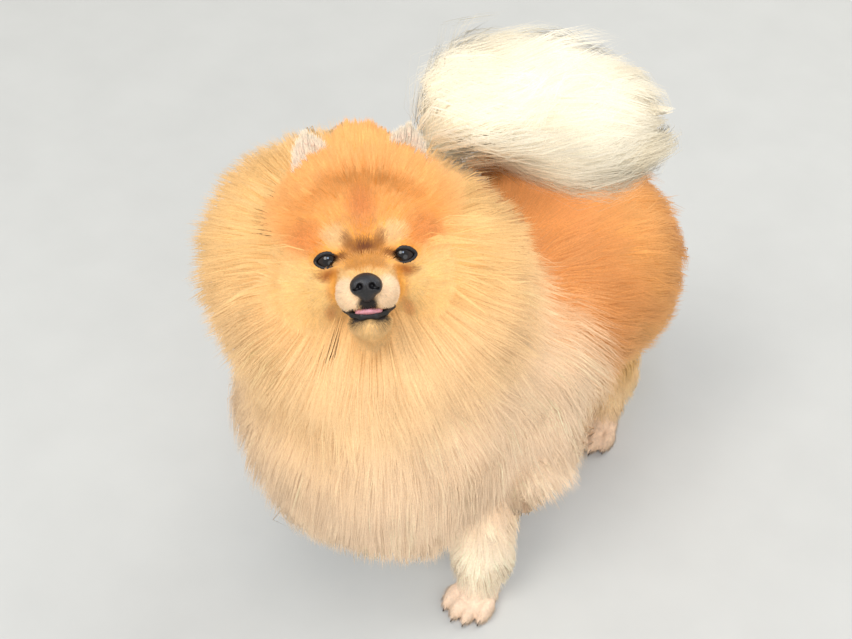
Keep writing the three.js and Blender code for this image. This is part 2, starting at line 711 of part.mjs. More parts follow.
// The solid's surface without the slivers that joining and cutting leave.
function surfaceOf(solid) {
  const { vertProperties, triVerts } = solid.getMesh();
  const raw = new THREE.BufferGeometry();
  raw.setAttribute("position", new THREE.BufferAttribute(new Float32Array(vertProperties), 3));
  raw.setIndex(new THREE.BufferAttribute(new Uint32Array(triVerts), 1));
  const geometry = mergeVertices(raw, SLIVER);
  const index = geometry.index.array;
  const kept = [];
  for (let i = 0; i < index.length; i += 3) {
    const [a, b, c] = index.slice(i, i + 3);
    if (a !== b && b !== c && c !== a) kept.push(a, b, c);
  }
  geometry.setIndex(kept);
  return geometry;
}

function mesh(name, solid, colour, roughness = 0.9) {
  const geometry = surfaceOf(solid);
  const material = new THREE.MeshStandardMaterial({ color: COLOURS[colour], roughness, metalness: 0 });
  const made = new THREE.Mesh(geometry, material);
  made.name = name;
  return made;
}

const dog = new THREE.Group();
dog.add(
  mesh("head", toWorld(head), "orange"),
  mesh("lower_jaw", toWorld(jawSolid(0).subtract(tongueHole)), "cream"),
  mesh("tongue", toWorld(tongue), "tongue", 0.4),
  mesh("nose", toWorld(noseSolid()), "black", 0.4),
  mesh("eye_right", toWorld(eyes[0]), "eye", 0.05),
  mesh("eye_left", toWorld(eyes[1]), "eye", 0.05),
  mesh("ear_right", toWorld(ears[0]), "pale"),
  mesh("ear_left", toWorld(ears[1]), "pale"),
  mesh("neck", neck, "golden"),
  mesh("chest", chest, "cream"),
  mesh("torso", torso, "orange"),
  mesh("hindquarters", hindquarters, "golden"),
  mesh("tail", tail, "pale"),
);
for (const [name, { paw, limb }] of Object.entries(legs)) {
  const [end, half] = name.split("_");
  dog.add(mesh(`${end}leg_${half}`, limb, "cream"), mesh(`${end}paw_${half}`, paw, "skin"));
}

const box = new THREE.Box3().setFromObject(dog);
const middle = box.getCenter(V(0, 0, 0));
dog.position.set(-middle.x, -middle.y, -box.min.z);

export default dog;
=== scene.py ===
# A life-size pomeranian, standing with its head turned up and to its left: skin, coat, face, paws and
# studio. Shapes are worked out in millimetres in the construction's own frame, in which the dog faces -Y
# with +X on its left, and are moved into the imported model's frame, in metres, when their meshes are made.
import math

import bpy
import numpy as np
from mathutils import Matrix, Vector
from mathutils.kdtree import KDTree


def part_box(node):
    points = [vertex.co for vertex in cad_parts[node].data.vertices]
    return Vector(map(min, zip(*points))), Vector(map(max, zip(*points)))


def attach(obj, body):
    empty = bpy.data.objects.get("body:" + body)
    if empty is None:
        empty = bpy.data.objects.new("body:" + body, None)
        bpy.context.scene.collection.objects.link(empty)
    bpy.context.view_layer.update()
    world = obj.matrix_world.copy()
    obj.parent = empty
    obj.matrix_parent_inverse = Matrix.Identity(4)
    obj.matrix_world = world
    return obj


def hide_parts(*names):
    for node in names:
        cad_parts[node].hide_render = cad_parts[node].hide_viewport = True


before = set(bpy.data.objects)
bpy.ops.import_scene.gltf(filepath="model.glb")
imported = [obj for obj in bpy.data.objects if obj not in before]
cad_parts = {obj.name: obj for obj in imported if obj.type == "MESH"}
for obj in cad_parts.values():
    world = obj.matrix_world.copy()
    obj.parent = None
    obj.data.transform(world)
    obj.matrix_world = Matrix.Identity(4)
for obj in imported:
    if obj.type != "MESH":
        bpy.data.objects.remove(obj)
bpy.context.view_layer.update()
random = np.random.default_rng(11)

# The head: the point midway between the eyes, and how the face is turned
FACE_AT = (-30.3, -106.7, 267)
FACE_TURN, FACE_PITCH, FACE_ROLL = 33, 42, 4.5
EYE_RADIUS = 9.3
EYE_APART = 44
EYE_BACK = 6
EYE_GAP = 0.15
LID_WIDE, LID_HIGH, LID_DEEP, LID_THICK = 7.0, 4.1, 9, 1.2
NOSE_AT = np.array([0, -29, -16.5])
NOSE_SIZE = np.array([8.9, 7.4, 7.2])

# Masses of the face under its short hair, in the head's frame: centre and radii, or places and radii
SKULL = ((0, 34, 8), (33, 39, 30))
BROW = ((0, 12, -3), (34, 14.5, 20))
MUZZLE = (((0, 2, -13), 19), ((0, -15, -18), 13))
LIP_PAD = ((7.5, -13, -21), (9, 12, 9))
JOWL = ((24, 20, -16), (17, 20, 16))
JAW = (((0, 16, -38), 13), ((0, -11, -38.5), 7))
CHIN = ((0, -7, -37.5), (12, 13, 7))
MOUTH = ((0, -14, -31.2), (13.5, 15, 2.8))
JAW_HOLLOW = ((0, -12, -30.5), (12, 13, 3))
JAW_INSET = 0.4

# Masses of the coat, out to its tips, and of the body under it: centre and radii
MANE = ((-55, -71, 212), (108, 92, 106))
BIB = ((-44, -90, 128), (100, 74, 92))
BIB_HEM = ((-36, -106, 92), (84, 58, 58))
BACK_COAT = ((-6, 5, 148), (90, 110, 84))
BELLY_HEM = ((14, -34, 96), (66, 62, 48))
RUMP_COAT = ((-2, 72, 152), (90, 82, 88))
PLUME = ((-19, 84, 260), (74, 56, 46))
PLUME_FRONT = ((-42, 50, 279), (50, 46, 27))
PLUME_NEAR = ((-63, 30, 257), (24, 23, 25))
PLUME_SOURCE = np.array([-80, 12, 236])
CROWN = ((2, 34, 30), (58, 38, 54))
CHEEK = ((34, 27, -14), (27, 20, 27))
RUFF_LEAN, RUFF_FRONT = 14, -16
CHEST = ((-22, -42, 160), (44, 58, 50))
LOINS = ((-10, 30, 152), (38, 60, 40))
RUMP = ((0, 84, 156), (42, 46, 44))
NECK = (((-24, -60, 185), 36), ((-46, -78, 240), 31))
TAIL_BONE = (((0, 112, 205), 9), ((-6, 78, 244), 8), ((-36, 50, 272), 7), ((-62, 32, 256), 6))
SMOOTH = 20

# How far the skin lies out: a share of the way from the body to the coat's tips, and of a leg's radius
CORE_SHARE, HEAD_CORE_SHARE = 0.5, 0.42
LEG_SKIN_SHARE = 0.62

# Each leg: where its paw stands, how far its toes turn out, and its joints with the coat's radius there
LEGS = {
    "fore_left": ((46, -102), 4, (((46, -98, 12), 14), ((44, -88, 34), 20), ((33, -66, 92), 24))),
    "fore_right": ((-60, -74), -6, (((-60, -70, 12), 14), ((-59, -60, 34), 20), ((-52, -52, 92), 24))),
    "hind_left": ((38, 78), 8, (((38, 86, 12), 13), ((38, 103, 44), 16), ((38, 84, 92), 28))),
    "hind_right": ((-44, 90), -8, (((-43, 98, 12), 13), ((-41, 114, 44), 16), ((-38, 92, 92), 28))),
}
TOES = (-1.5, -0.5, 0.5, 1.5)
TOE_SPREAD, TOE_ARCH = 8.2, 2.6
TOE_FRONT, TOE_HIGH = -12, 5.6
TOE_RADII = (4.9, 10.3, 6.9)
PAW_BACK = ((0, 6, 6.6), (14.2, 15.4, 11.4))
CLAW_SPREAD, CLAW_FRONT = 1.04, -21.0
CLAW = (((0, 4, 5.2), 1.5), ((0, 0, 4.6), 1.2), ((0, -3.4, 2.6), 0.5))

EAR_ROOT = np.array([21, 33, 34])
EAR_TIP = np.array([31, 27, 72])
EAR_WIDE, EAR_THICK, EAR_CUP = 27, 1.8, 6

TRUNK_NODES = ["head", "lower_jaw", "neck", "chest", "torso", "hindquarters", "tail"]
LIMBS = ("foreleg", "forepaw", "hindleg", "hindpaw")
FLESH = TRUNK_NODES + [f"{limb}_{half}" for limb in LIMBS for half in ("left", "right")]

# Frames
HEAD = Matrix.Rotation(math.radians(FACE_TURN), 4, "Z") @ Matrix.Rotation(math.radians(-FACE_PITCH), 4, "X")
HEAD = HEAD @ Matrix.Rotation(math.radians(-FACE_ROLL), 4, "Y")
HEAD_TURN = np.array(HEAD.to_3x3())
HEAD_AT = np.array(FACE_AT, float)


def from_head(p):
    return np.asarray(p, float) @ HEAD_TURN.T + HEAD_AT


def to_head(p):
    return (np.asarray(p, float) - HEAD_AT) @ HEAD_TURN


def middle_of(node):
    low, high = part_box(node)
    return (np.array(low) + np.array(high)) / 2


EYES_MIDDLE = (middle_of("eye_left") + middle_of("eye_right")) * 500
SHIFT = EYES_MIDDLE - from_head((0, EYE_BACK, 0))


def to_frame(p):
    """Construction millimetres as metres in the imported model's frame."""
    return (np.asarray(p, float) + SHIFT) / 1000


# Forms are distance functions of an array of points: negative inside
def length(v):
    return np.sqrt(np.einsum("...i,...i", v, v))


def unit(v):
    return v / np.maximum(length(v), 1e-9)[..., None]


def ellipsoid(centre, radii):
    centre, radii = np.array(centre, float), np.array(radii, float)

    def distance(p):
        q = (p - centre) / radii
        far, slope = length(q), length(q / radii)
        return np.where(slope < 1e-6, -radii.min(), far * (far - 1) / np.maximum(slope, 1e-6))

    return distance


def taper(start, end):
    (a, ra), (b, rb) = start, end
    a, b = np.array(a, float), np.array(b, float)
    along = b - a

    def distance(p):
        t = np.clip((p - a) @ along / (along @ along), 0, 1)
        return length(p - a - t[..., None] * along) - (ra + (rb - ra) * t)

    return distance


def smooth_least(a, b, width):
    near = np.maximum(width - np.abs(a - b), 0) / width
    return np.minimum(a, b) - near * near * width / 4


def blend(width, *forms):
    def distance(p):
        least = forms[0](p)
        for form in forms[1:]:
            least = smooth_least(least, form(p), width)
        return least

    return distance


def common(width, a, b):
    return lambda p: -smooth_least(-a(p), -b(p), width)


def without(width, a, b):
    return lambda p: -smooth_least(-a(p), b(p), width)


def swollen(form, by):
    return lambda p: form(p) - by


def between(skin, tips, share):
    return lambda p: skin(p) * (1 - share) + tips(p) * share


def in_head(form):
    return lambda p: form(to_head(p))


def chain(width, joints):
    return blend(width, *(taper(a, b) for a, b in zip(joints, joints[1:])))


def on_both_sides(centre, radii):
    x, y, z = centre
    return ellipsoid((x, y, z), radii), ellipsoid((-x, y, z), radii)


def gradient(form, p, step=1.0):
    sides = []
    for axis in np.eye(3) * step:
        sides.append(form(p + axis) - form(p - axis))
    return unit(np.stack(sides, axis=-1))


# The coat out to its tips and the body under it, as in the solids
lean = math.radians(RUFF_LEAN)
RUFF_NORMAL = np.array([0, -math.cos(lean), math.sin(lean)])


def ruff_front(p):
    return to_head(p) @ RUFF_NORMAL - RUFF_FRONT


mane_tips = common(40, ellipsoid(*MANE), ruff_front)
bib_tips = blend(SMOOTH, ellipsoid(*BIB), ellipsoid(*BIB_HEM))
back_tips = blend(SMOOTH, ellipsoid(*BACK_COAT), ellipsoid(*BELLY_HEM))
body_tips = blend(SMOOTH, mane_tips, bib_tips, back_tips, ellipsoid(*RUMP_COAT))
body_flesh = blend(SMOOTH, ellipsoid(*CHEST), ellipsoid(*LOINS), ellipsoid(*RUMP), taper(*NECK))
plume_tips = blend(SMOOTH, ellipsoid(*PLUME), ellipsoid(*PLUME_FRONT), ellipsoid(*PLUME_NEAR))
tail_flesh = chain(8, TAIL_BONE)

# The face under its short hair, in the head's frame
face_form = blend(
    9, ellipsoid(*SKULL), ellipsoid(*BROW), taper(*MUZZLE), *on_both_sides(*LIP_PAD), *on_both_sides(*JOWL)
)
head_tips = blend(14, face_form, ellipsoid(*CROWN), *on_both_sides(*CHEEK))
jaw_form = blend(6, taper(*JAW), ellipsoid(*CHIN))


def eye_centre(sign):
    return np.array([sign * EYE_APART / 2, EYE_BACK, 0.0])


def eye_ball(sign, radius):
    return ellipsoid(eye_centre(sign), (radius,) * 3)


def lid_opening(sign):
    """The gap between the lids, as a rod of almond section that looks forwards."""
    centre = eye_centre(sign) + np.array([0, -EYE_RADIUS, 0])
    return ellipsoid(centre, (LID_WIDE, LID_DEEP, LID_HIGH))


head_skin = between(face_form, head_tips, HEAD_CORE_SHARE)
for sign in (-1, 1):
    head_skin = blend(4, head_skin, eye_ball(sign, EYE_RADIUS + LID_THICK))
head_skin = without(1.5, head_skin, ellipsoid(*MOUTH))
lower_jaw = without(1.2, swollen(jaw_form, -JAW_INSET), ellipsoid(*JAW_HOLLOW))
head_skin = blend(3, head_skin, lower_jaw)
for sign in (-1, 1):
    head_skin = without(0.6, head_skin, lid_opening(sign))
    head_skin = without(1.0, head_skin, eye_ball(sign, EYE_RADIUS + EYE_GAP))


def paw_form(paw, toes_out):
    turn = np.array(Matrix.Rotation(math.radians(toes_out), 3, "Z"))
    toes = [ellipsoid((k * TOE_SPREAD, TOE_FRONT + TOE_ARCH * k * k, TOE_HIGH), TOE_RADII) for k in TOES]
    whole = blend(1.6, ellipsoid(*PAW_BACK), *toes)
    at = np.array([*paw, 0.0])
    return lambda p: whole((p - at) @ turn)


leg_tips = [chain(8, joints) for _, _, joints in LEGS.values()]
leg_skin = [
    chain(8, [(at, radius * LEG_SKIN_SHARE) for at, radius in joints]) for _, _, joints in LEGS.values()
]
paws = [paw_form(paw, toes_out) for paw, toes_out, _ in LEGS.values()]

trunk = blend(12, between(body_flesh, body_tips, CORE_SHARE), *leg_skin)
body_skin = blend(7, trunk, between(tail_flesh, plume_tips, CORE_SHARE), *paws)
whole_skin = blend(14, body_skin, in_head(head_skin))


def standing_skin(p):
    """The whole skin, cut flat where the paws stand on the ground."""
    return np.maximum(whole_skin(p), -p[..., 2])


# Meshes from forms
def surface(form, axes):
    """Corners and four-sided faces of a form: one corner in each cell that its surface crosses."""
    shape = tuple(len(a) for a in axes)
    plane = np.stack(np.meshgrid(axes[1], axes[2], indexing="ij"), axis=-1)
    value = np.empty(shape, np.float32)
    for i, x in enumerate(axes[0]):
        points = np.concatenate([np.full(plane.shape[:2] + (1,), x), plane], axis=-1)
        value[i] = form(points)
    inside = value < 0
    rings, points = [], []
    for axis in range(3):
        low, high = [slice(None)] * 3, [slice(None)] * 3
        low[axis], high[axis] = slice(0, -1), slice(1, None)
        edge = np.argwhere(inside[tuple(low)] != inside[tuple(high)])
        other = edge.copy()
        other[:, axis] += 1
        a, b = value[tuple(edge.T)], value[tuple(other.T)]
        at = np.stack([axes[k][edge[:, k]] for k in range(3)], axis=-1).astype(float)
        at[:, axis] += a / (a - b) * (axes[axis][other[:, axis]] - axes[axis][edge[:, axis]])
        u, v = (axis + 1) % 3, (axis + 2) % 3
        ring = []
        for du, dv in ((0, 0), (-1, 0), (-1, -1), (0, -1)):
            cell = edge.copy()
            cell[:, u] += du
            cell[:, v] += dv
            ring.append(np.ravel_multi_index(cell.T, shape))
        ring = np.stack(ring, axis=1)
        rings.append(np.where((a > 0)[:, None], ring[:, ::-1], ring))
        points.append(at)
    rings, points = np.concatenate(rings), np.concatenate(points)
    cells, faces = np.unique(rings, return_inverse=True)
    faces = faces.reshape(rings.shape)
    count = np.bincount(faces.ravel(), minlength=len(cells))
    sums = [np.bincount(faces.ravel(), np.repeat(points[:, k], 4), len(cells)) for k in range(3)]
    return np.stack([total / count for total in sums], axis=-1), faces


def settle(form, corners, times=2, furthest=0.8):
    """Corners moved onto the form's surface, a few times and not far each time."""
    for _ in range(times):
        out = gradient(form, corners, step=0.3)
        corners = corners - out * np.clip(form(corners), -furthest, furthest)[:, None]
    return corners


def make_mesh(name, corners, faces, colours=None, uvs=None, normals=None):
    """A mesh object from construction points and faces that all have the same number of sides."""
    mesh = bpy.data.meshes.new(name)
    sides = faces.shape[1]
    mesh.vertices.add(len(corners))
    mesh.vertices.foreach_set("co", to_frame(corners).astype(np.float32).ravel())
    mesh.loops.add(faces.size)
    mesh.loops.foreach_set("vertex_index", faces.astype(np.int32).ravel())
    mesh.polygons.add(len(faces))
    mesh.polygons.foreach_set("loop_start", np.arange(0, faces.size, sides, dtype=np.int32))
    mesh.polygons.foreach_set("use_smooth", np.ones(len(faces), bool))
    mesh.update(calc_edges=True)
    if colours is not None:
        layer = mesh.color_attributes.new("Coat", "FLOAT_COLOR", "POINT")
        layer.data.foreach_set("color", np.c_[colours, np.ones(len(colours))].astype(np.float32).ravel())
    if uvs is not None:
        mesh.uv_layers.new(name="OFBake").data.foreach_set("uv", uvs.astype(np.float32).ravel())
    if normals is not None:
        mesh.normals_split_custom_set_from_vertices(normals.astype(np.float32))
    piece = bpy.data.objects.new(name, mesh)
    bpy.context.scene.collection.objects.link(piece)
    return piece


def finish_piece(piece, material, nodes=()):
    piece.data.materials.append(material)
    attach(piece, "root")
    if nodes:
        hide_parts(*nodes)


# Colours, and the markings that skin and coat share
def seen(red, green, blue):
    """A colour as it is seen, each part from 0 to 255, as the shares of light that it stands for."""
    value = np.array([red, green, blue]) / 255
    return np.where(value <= 0.04045, value / 12.92, ((value + 0.055) / 1.055) ** 2.4)


GOLD = seen(250, 203, 142)
HONEY = seen(250, 196, 116)
PEACH = seen(252, 218, 182)
ORANGE = seen(238, 160, 68)
RUST = seen(206, 112, 38)
UMBER = seen(112, 56, 20)
APRICOT = seen(252, 212, 168)
MILK = seen(255, 236, 206)
IVORY = seen(246, 234, 208)
BLUSH = seen(242, 208, 180)
SOOT = seen(46, 40, 38)


def soft(distance, width):
    """0 below, 1 above, and smooth over the width between."""
    t = np.clip(distance / width + 0.5, 0, 1)
    return t * t * (3 - 2 * t)


def past(value, edge):
    """1 well past an edge and 0 well short of it; an edge is a level and the width of its blend."""
    level, width = edge
    return soft(value - level, width)


def short_of(value, edge):
    """1 well short of an edge and 0 well past it."""
    level, width = edge
    return soft(level - value, width)


def depth_in_cone(middle, radius, growth, slope):
    """How deep a point is in a cone that opens backwards, from its radius at the middle."""
    x, y, z = middle
    return lambda p: (radius + growth * (p[:, 1] - y) - np.hypot(p[:, 0] - x, p[:, 2] - z)) / slope


# What parts the body's coat: two cones, behind the fore legs and the hind legs, and a plane over the bib
behind_fore = depth_in_cone((-20, -60, 152), 23, 1.1, 1.49)
behind_hind = depth_in_cone((-4, 34, 152), 26, 1.3, 1.64)
BIB_TOP = np.array([-30, -70, 165])
BIB_UP = np.array([0, -0.35, 0.94])


def above_bib(p):
    return (p - BIB_TOP) @ BIB_UP


def spot(p, centre, radii):
    """1 at the centre of a spot and 0 from its edge outwards."""
    return np.clip(1 - (((p - np.array(centre)) / np.array(radii)) ** 2).sum(axis=-1), 0, 1)


# Where the tones of the body change
REAR_EDGE = (-12, 34)
NAPE_EDGE = (222, 70)
SADDLE_EDGE, SADDLE_END = (150, 80), (24, 60)
BREAST_EDGE, BREAST_SIDE, BREAST_TOP = (0, 90), (-10, 90), (40, 80)
FLANK_EDGE, STOCKING_EDGE, TOES_EDGE = (140, 90), (66, 40), (24, 24)
PLUME_DEPTH, PLUME_HEIGHT, PLUME_START = (8, 12), (228, 12), (2, 10)

# The cap of the head, in the head's frame: its middle, how it is stretched, and its edges
HEAD_EDGE = (5, 12)
CAP_AT, CAP_SCALE = (0, 12, 18), (1, 0.5, 0.9)
CAP_EDGE, CAP_HEIGHT = (44, 16), (-6, 16)

# Marks on both sides of the face, in the head's frame, later ones on top: tone, middle, radii and strength
FACE_MARKS = (
    (RUST, (29, 12, 10), (13, 24, 16), 0.6),  # temples
    (HONEY * 0.96, (31, 14, -17), (27, 36, 24), 1.3),  # cheeks
    (GOLD, (15, 2, 12), (10, 20, 8), 0.7),  # over the eyes
    (RUST, (0, 4, 24), (10, 20, 18), 0.7),  # forehead
    (UMBER, (0, 0, 4), (12, 20, 9), 1.2),  # between the eyes
    (UMBER, (9, 0, 9.5), (4.5, 14, 7), 0.8),  # brows
    (UMBER, (13, 0, 1), (8, 14, 3.6), 1.1),  # inner corners of the eyes
    (ORANGE * 0.74, (0, -9, -6), (13, 18, 9), 2.2),  # bridge of the muzzle
    (RUST * 0.6, (20, 0, -8.5), (10, 14, 5.5), 1.1),  # below the eyes
    (ORANGE * 0.86, (17.5, -4, -17), (7, 15, 13), 1.1),  # sides of the muzzle
    (APRICOT, (9.5, -18, -21), (10.5, 18, 10.5), 2.2),  # upper lips
    (APRICOT, (0, -10, -45), (19, 22, 10), 1.6),  # chin
    (RUST, (22, -3, -35), (7, 15, 12), 1.5),  # corners of the mouth
    (SOOT, (0, -27, -26), (6.5, 8, 5.5), 1.6),  # below the nose
    (SOOT, (7, -17, -36), (11, 9, 5.2), 1.7),  # lower lip
)


def markings(p):
    """The colour of skin and coat at each point, painted in turn over gold."""
    p = np.asarray(p, float)
    x, y, z = p.T
    colour = np.tile(GOLD, (len(p), 1))

    def paint(tone, amount):
        colour[:] += (tone - colour) * np.clip(amount, 0, 1)[:, None]

    rear = past(behind_fore(p), REAR_EDGE)
    paint(HONEY * 0.88, (1 - rear) * past(z, NAPE_EDGE) * 0.85)
    paint(ORANGE * 0.9, rear * 0.95)
    paint(RUST, rear * short_of(y, SADDLE_END) * past(z, SADDLE_EDGE) * 0.4)
    paint(PEACH, (1 - rear) * short_of(above_bib(p), BREAST_EDGE) * 0.9)
    paint(PEACH, (1 - rear) * past(x, BREAST_SIDE) * short_of(above_bib(p), BREAST_TOP) * 0.5)
    paint(HONEY, short_of(z, FLANK_EDGE) * rear * 0.9)
    paint(MILK, short_of(z, STOCKING_EDGE) * (1 - rear * 0.6) * 0.9)
    paint(BLUSH, short_of(z, TOES_EDGE) * 0.8)
    paint(IVORY, short_of(plume_tips(p), PLUME_DEPTH) * past(z, PLUME_HEIGHT) * past(y, PLUME_START))

    h = to_head(p)
    on_head = short_of(head_tips(h), HEAD_EDGE)
    cap = short_of(length((h - CAP_AT) * CAP_SCALE), CAP_EDGE)
    paint(ORANGE * 1.04, on_head * past(h[:, 2], CAP_HEIGHT) * cap)
    both = np.c_[np.abs(h[:, 0]), h[:, 1:]]
    for tone, middle, radii, strength in FACE_MARKS:
        paint(tone, on_head * spot(both, middle, radii) * strength)
    return np.clip(colour, 0, 1)


# Skin
def ruled(*stops):
    """Grid lines from the first stop to the last: each stop is a place and the spacing after it."""
    lines = []
    for (start, step), (end, _) in zip(stops, stops[1:]):
        count = max(int(round((end - start) / step)), 1)
        lines.append(np.linspace(start, end, count, endpoint=False))
    return np.append(np.concatenate(lines), stops[-1][0])


COARSE, FINE = ((2.8, 1.0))
skin_grid = (
    ruled((-170, COARSE), (-68, FINE), (8, COARSE), (96, 1)),
    ruled((-168, FINE), (-84, COARSE), (160, 1)),
    ruled((-3.1, COARSE), (222, FINE), (300, COARSE), (316, 1)),
)
skin_corners, skin_faces = surface(standing_skin, skin_grid)
skin = make_mesh("skin", skin_corners, skin_faces, markings(skin_corners))


def unwrap(piece, angle=math.radians(66), margin=0.002):
    """An unwrap of the piece's own shape, in the layer that its baked colours use."""
    piece.data.uv_layers.new(name="OFBake")
    bpy.context.view_layer.objects.active = piece
    piece.select_set(True)
    bpy.ops.object.mode_set(mode="EDIT")
    bpy.ops.mesh.select_all(action="SELECT")
    bpy.ops.uv.smart_project(angle_limit=angle, island_margin=margin)
    bpy.ops.object.mode_set(mode="OBJECT")
    piece.select_set(False)


unwrap(skin)
flat = np.empty(len(skin.data.loops) * 2, np.float32)
skin.data.uv_layers["OFBake"].data.foreach_get("uv", flat)
skin_uvs = flat.reshape(len(skin_faces), 4, 2)

# Roots: places on the skin, as a triangle of it and shares of its corners
triangles = np.concatenate([skin_faces[:, [0, 1, 2]], skin_faces[:, [0, 2, 3]]])
triangle_uvs = np.concatenate([skin_uvs[:, [0, 1, 2]], skin_uvs[:, [0, 2, 3]]])
triangle_points = skin_corners[triangles]
first, second, third = np.moveaxis(triangle_points, 1, 0)
sides_cross = np.cross(second - first, third - first)
triangle_areas = length(sides_cross) / 2
triangle_middles = triangle_points.mean(axis=1)


def scatter(count, weight):
    """Roots spread at random over the skin, as dense as the weight of each triangle says."""
    chance = np.cumsum(triangle_areas * weight)
    pick = np.searchsorted(chance, (np.arange(count) + random.random(count)) / count * chance[-1])
    pick = np.minimum(pick, len(triangles) - 1)
    a, b = random.random((2, count))
    over = a + b > 1
    a[over], b[over] = 1 - a[over], 1 - b[over]
    share = np.stack([1 - a - b, a, b], axis=-1)[..., None]
    return (triangle_points[pick] * share).sum(axis=1), (triangle_uvs[pick] * share).sum(axis=1)


# The lie of the coat, in construction axes
FACE = from_head((0, 0, -6))
FACE_AXIS = HEAD_TURN @ np.array([0, 1.0, 0])
RUFF_BACK, RUFF_FALL = 0.55, np.array([0, 0, -0.25])

# Each part of the trunk: the middle that its coat opens out from, how far from there it has turned by half
# a right angle, and which way it falls
BIB_LIE = ((-40, -60), (180, 180), (0, 0, -1))
BACK_LIE = ((-6, 0), (300, math.inf), (0, 1, -0.55))
RUMP_LIE = ((-2, 0), (200, math.inf), (0, 0.75, -0.85))
RUFF_MIX, RUMP_MIX, REAR_MIX = (0, 60), (0, 50), (0, 30)

PLUME_LEAN = np.array([0.1, 0.1, 0])
HEAD_OPEN = np.array([0, 24, 0])
THROAT_EDGE, THROAT_LIE = (-34, 14), np.array([0, 0.8, -0.9])


def trunk_lie(p, middle, spread, fall):
    opening = (p[:, :2] - middle) / spread
    return unit(np.c_[opening, np.zeros(len(p))] + fall)


def body_lie(p):
    away = p - FACE
    away = unit(away - np.outer(away @ FACE_AXIS, FACE_AXIS))
    ruff = unit(away + RUFF_BACK * FACE_AXIS + RUFF_FALL)
    bib, back, rump = (trunk_lie(p, *lie) for lie in (BIB_LIE, BACK_LIE, RUMP_LIE))
    front = bib + (ruff - bib) * past(above_bib(p), RUFF_MIX)[:, None]
    rear = back + (rump - back) * past(behind_hind(p), RUMP_MIX)[:, None]
    return front + (rear - front) * past(behind_fore(p), REAR_MIX)[:, None]


def plume_lie(p):
    return unit(p - PLUME_SOURCE) + PLUME_LEAN


def head_lie(p):
    h = to_head(p)
    low = short_of(h[:, 2], THROAT_EDGE)[:, None]
    way = unit(h - NOSE_AT + HEAD_OPEN) * (1 - low) + low * THROAT_LIE
    return way @ HEAD_TURN.T


def leg_lie(p):
    return np.tile([0.0, 0.25, -1.0], (len(p), 1))


def paw_lie(p):
    return np.tile([0.0, -1.0, -0.45], (len(p), 1))


leg_coat = blend(8, *leg_tips)
paw_coat = blend(4, *paws)
coat_tips = blend(28, body_tips, in_head(head_tips))

FACE_MIDDLE, FACE_SCALE = np.array([0, -10, -14]), np.array([1, 0.6, 0.9])


def from_face(h):
    """How far a point is from the middle of the face, in the head's frame."""
    return length((h - FACE_MIDDLE) * FACE_SCALE)


# Where one part's coat gives way to the next
TAIL_DEPTH, TAIL_HEIGHT, TAIL_START = (-4, 8), (222, 8), (2, 10)
HEAD_SKIN_EDGE, FACE_EDGE = (1.2, 2), (58, 10)
LEG_HEIGHT, LEG_DEPTH, PAW_HEIGHT = (84, 12), (0, 6), (19, 5)
BODY_MIX = (0, 6)


def zone_weights(p):
    """How much of each part's coat grows at each point."""
    h = to_head(p)
    y, z = p[:, 1], p[:, 2]
    in_plume = short_of(plume_tips(p), TAIL_DEPTH) * past(z, TAIL_HEIGHT) * past(y, TAIL_START)
    of_head = short_of(head_skin(h), HEAD_SKIN_EDGE) * (1 - in_plume)
    of_face = of_head * short_of(from_face(h), FACE_EDGE)
    low = short_of(z, LEG_HEIGHT) * short_of(leg_coat(p), LEG_DEPTH) * (1 - of_head)
    of_paw = short_of(z, PAW_HEIGHT)
    trunk_share = (1 - in_plume) * (1 - of_head) * (1 - low) * (1 - of_paw)
    rear = past(behind_fore(p), BODY_MIX)
    rump = past(behind_hind(p), BODY_MIX)
    ruff = past(above_bib(p), BODY_MIX)
    return {
        "face": of_face,
        "crown": of_head - of_face,
        "mane": trunk_share * (1 - rear) * ruff,
        "bib": trunk_share * (1 - rear) * (1 - ruff),
        "back": trunk_share * rear * (1 - rump),
        "rump": trunk_share * rear * rump,
        "tail": in_plume * (1 - of_paw),
        "leg": low * (1 - of_paw),
        "paw": of_paw,
    }


# The coat is thinner on the underside, above the paws, and denser where the ruff meets the head
UNDERSIDE, UNDERSIDE_LOSS, PAW_TOP = (-0.35, 0.5), 0.6, 24
BY_HEAD, BY_HEAD_GAIN = (26, 44), 2.2
weights = zone_weights(triangle_middles)
facing = unit(sides_cross)
from_below = short_of(facing[:, 2], UNDERSIDE) * (triangle_middles[:, 2] > PAW_TOP)
by_head = short_of(head_tips(to_head(triangle_middles)), BY_HEAD)
for name in weights:
    weights[name] = weights[name] * (1 - UNDERSIDE_LOSS * from_below)
for name in ("mane", "bib"):
    weights[name] = weights[name] * (1 + BY_HEAD_GAIN * by_head)

# Each part's coat: its strands, the rings in a strand and its width, the wisps and locks it falls into, how
# far a lock draws together and how far it curls, and the share of strands that are tufts of the undercoat
COATS = {
    "face": (46000, 1, 0.5, 3600, 700, 0.1, 0.15, 0.0),
    "crown": (19000, 2, 0.48, 2600, 400, 0.12, 0.14, 0.15),
    "mane": (19800, 2, 0.56, 4200, 500, 0.1, 0.12, 0.22),
    "bib": (19800, 2, 0.56, 4200, 500, 0.1, 0.1, 0.22),
    "back": (17500, 2, 0.58, 3000, 400, 0.14, 0.16, 0.2),
    "rump": (17500, 2, 0.58, 3000, 400, 0.14, 0.16, 0.2),
    "tail": (12300, 3, 0.44, 2600, 260, 0.22, 0.3, 0.12),
    "leg": (13000, 2, 0.5, 1800, 300, 0.12, 0.12, 0.2),
    "paw": (18000, 1, 0.5, 2200, 500, 0.2, 0.25, 0.0),
}
THIN, WIDER = ((1, 1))
ROOT_DEPTH, FLOOR_GAP = 1.0, 0.4
LEAST_WIDTH, WIDTH_SPAN = 0.75, 0.5
WISP_CLUMP, CLUMP_CURVE = 0.3, 1.3
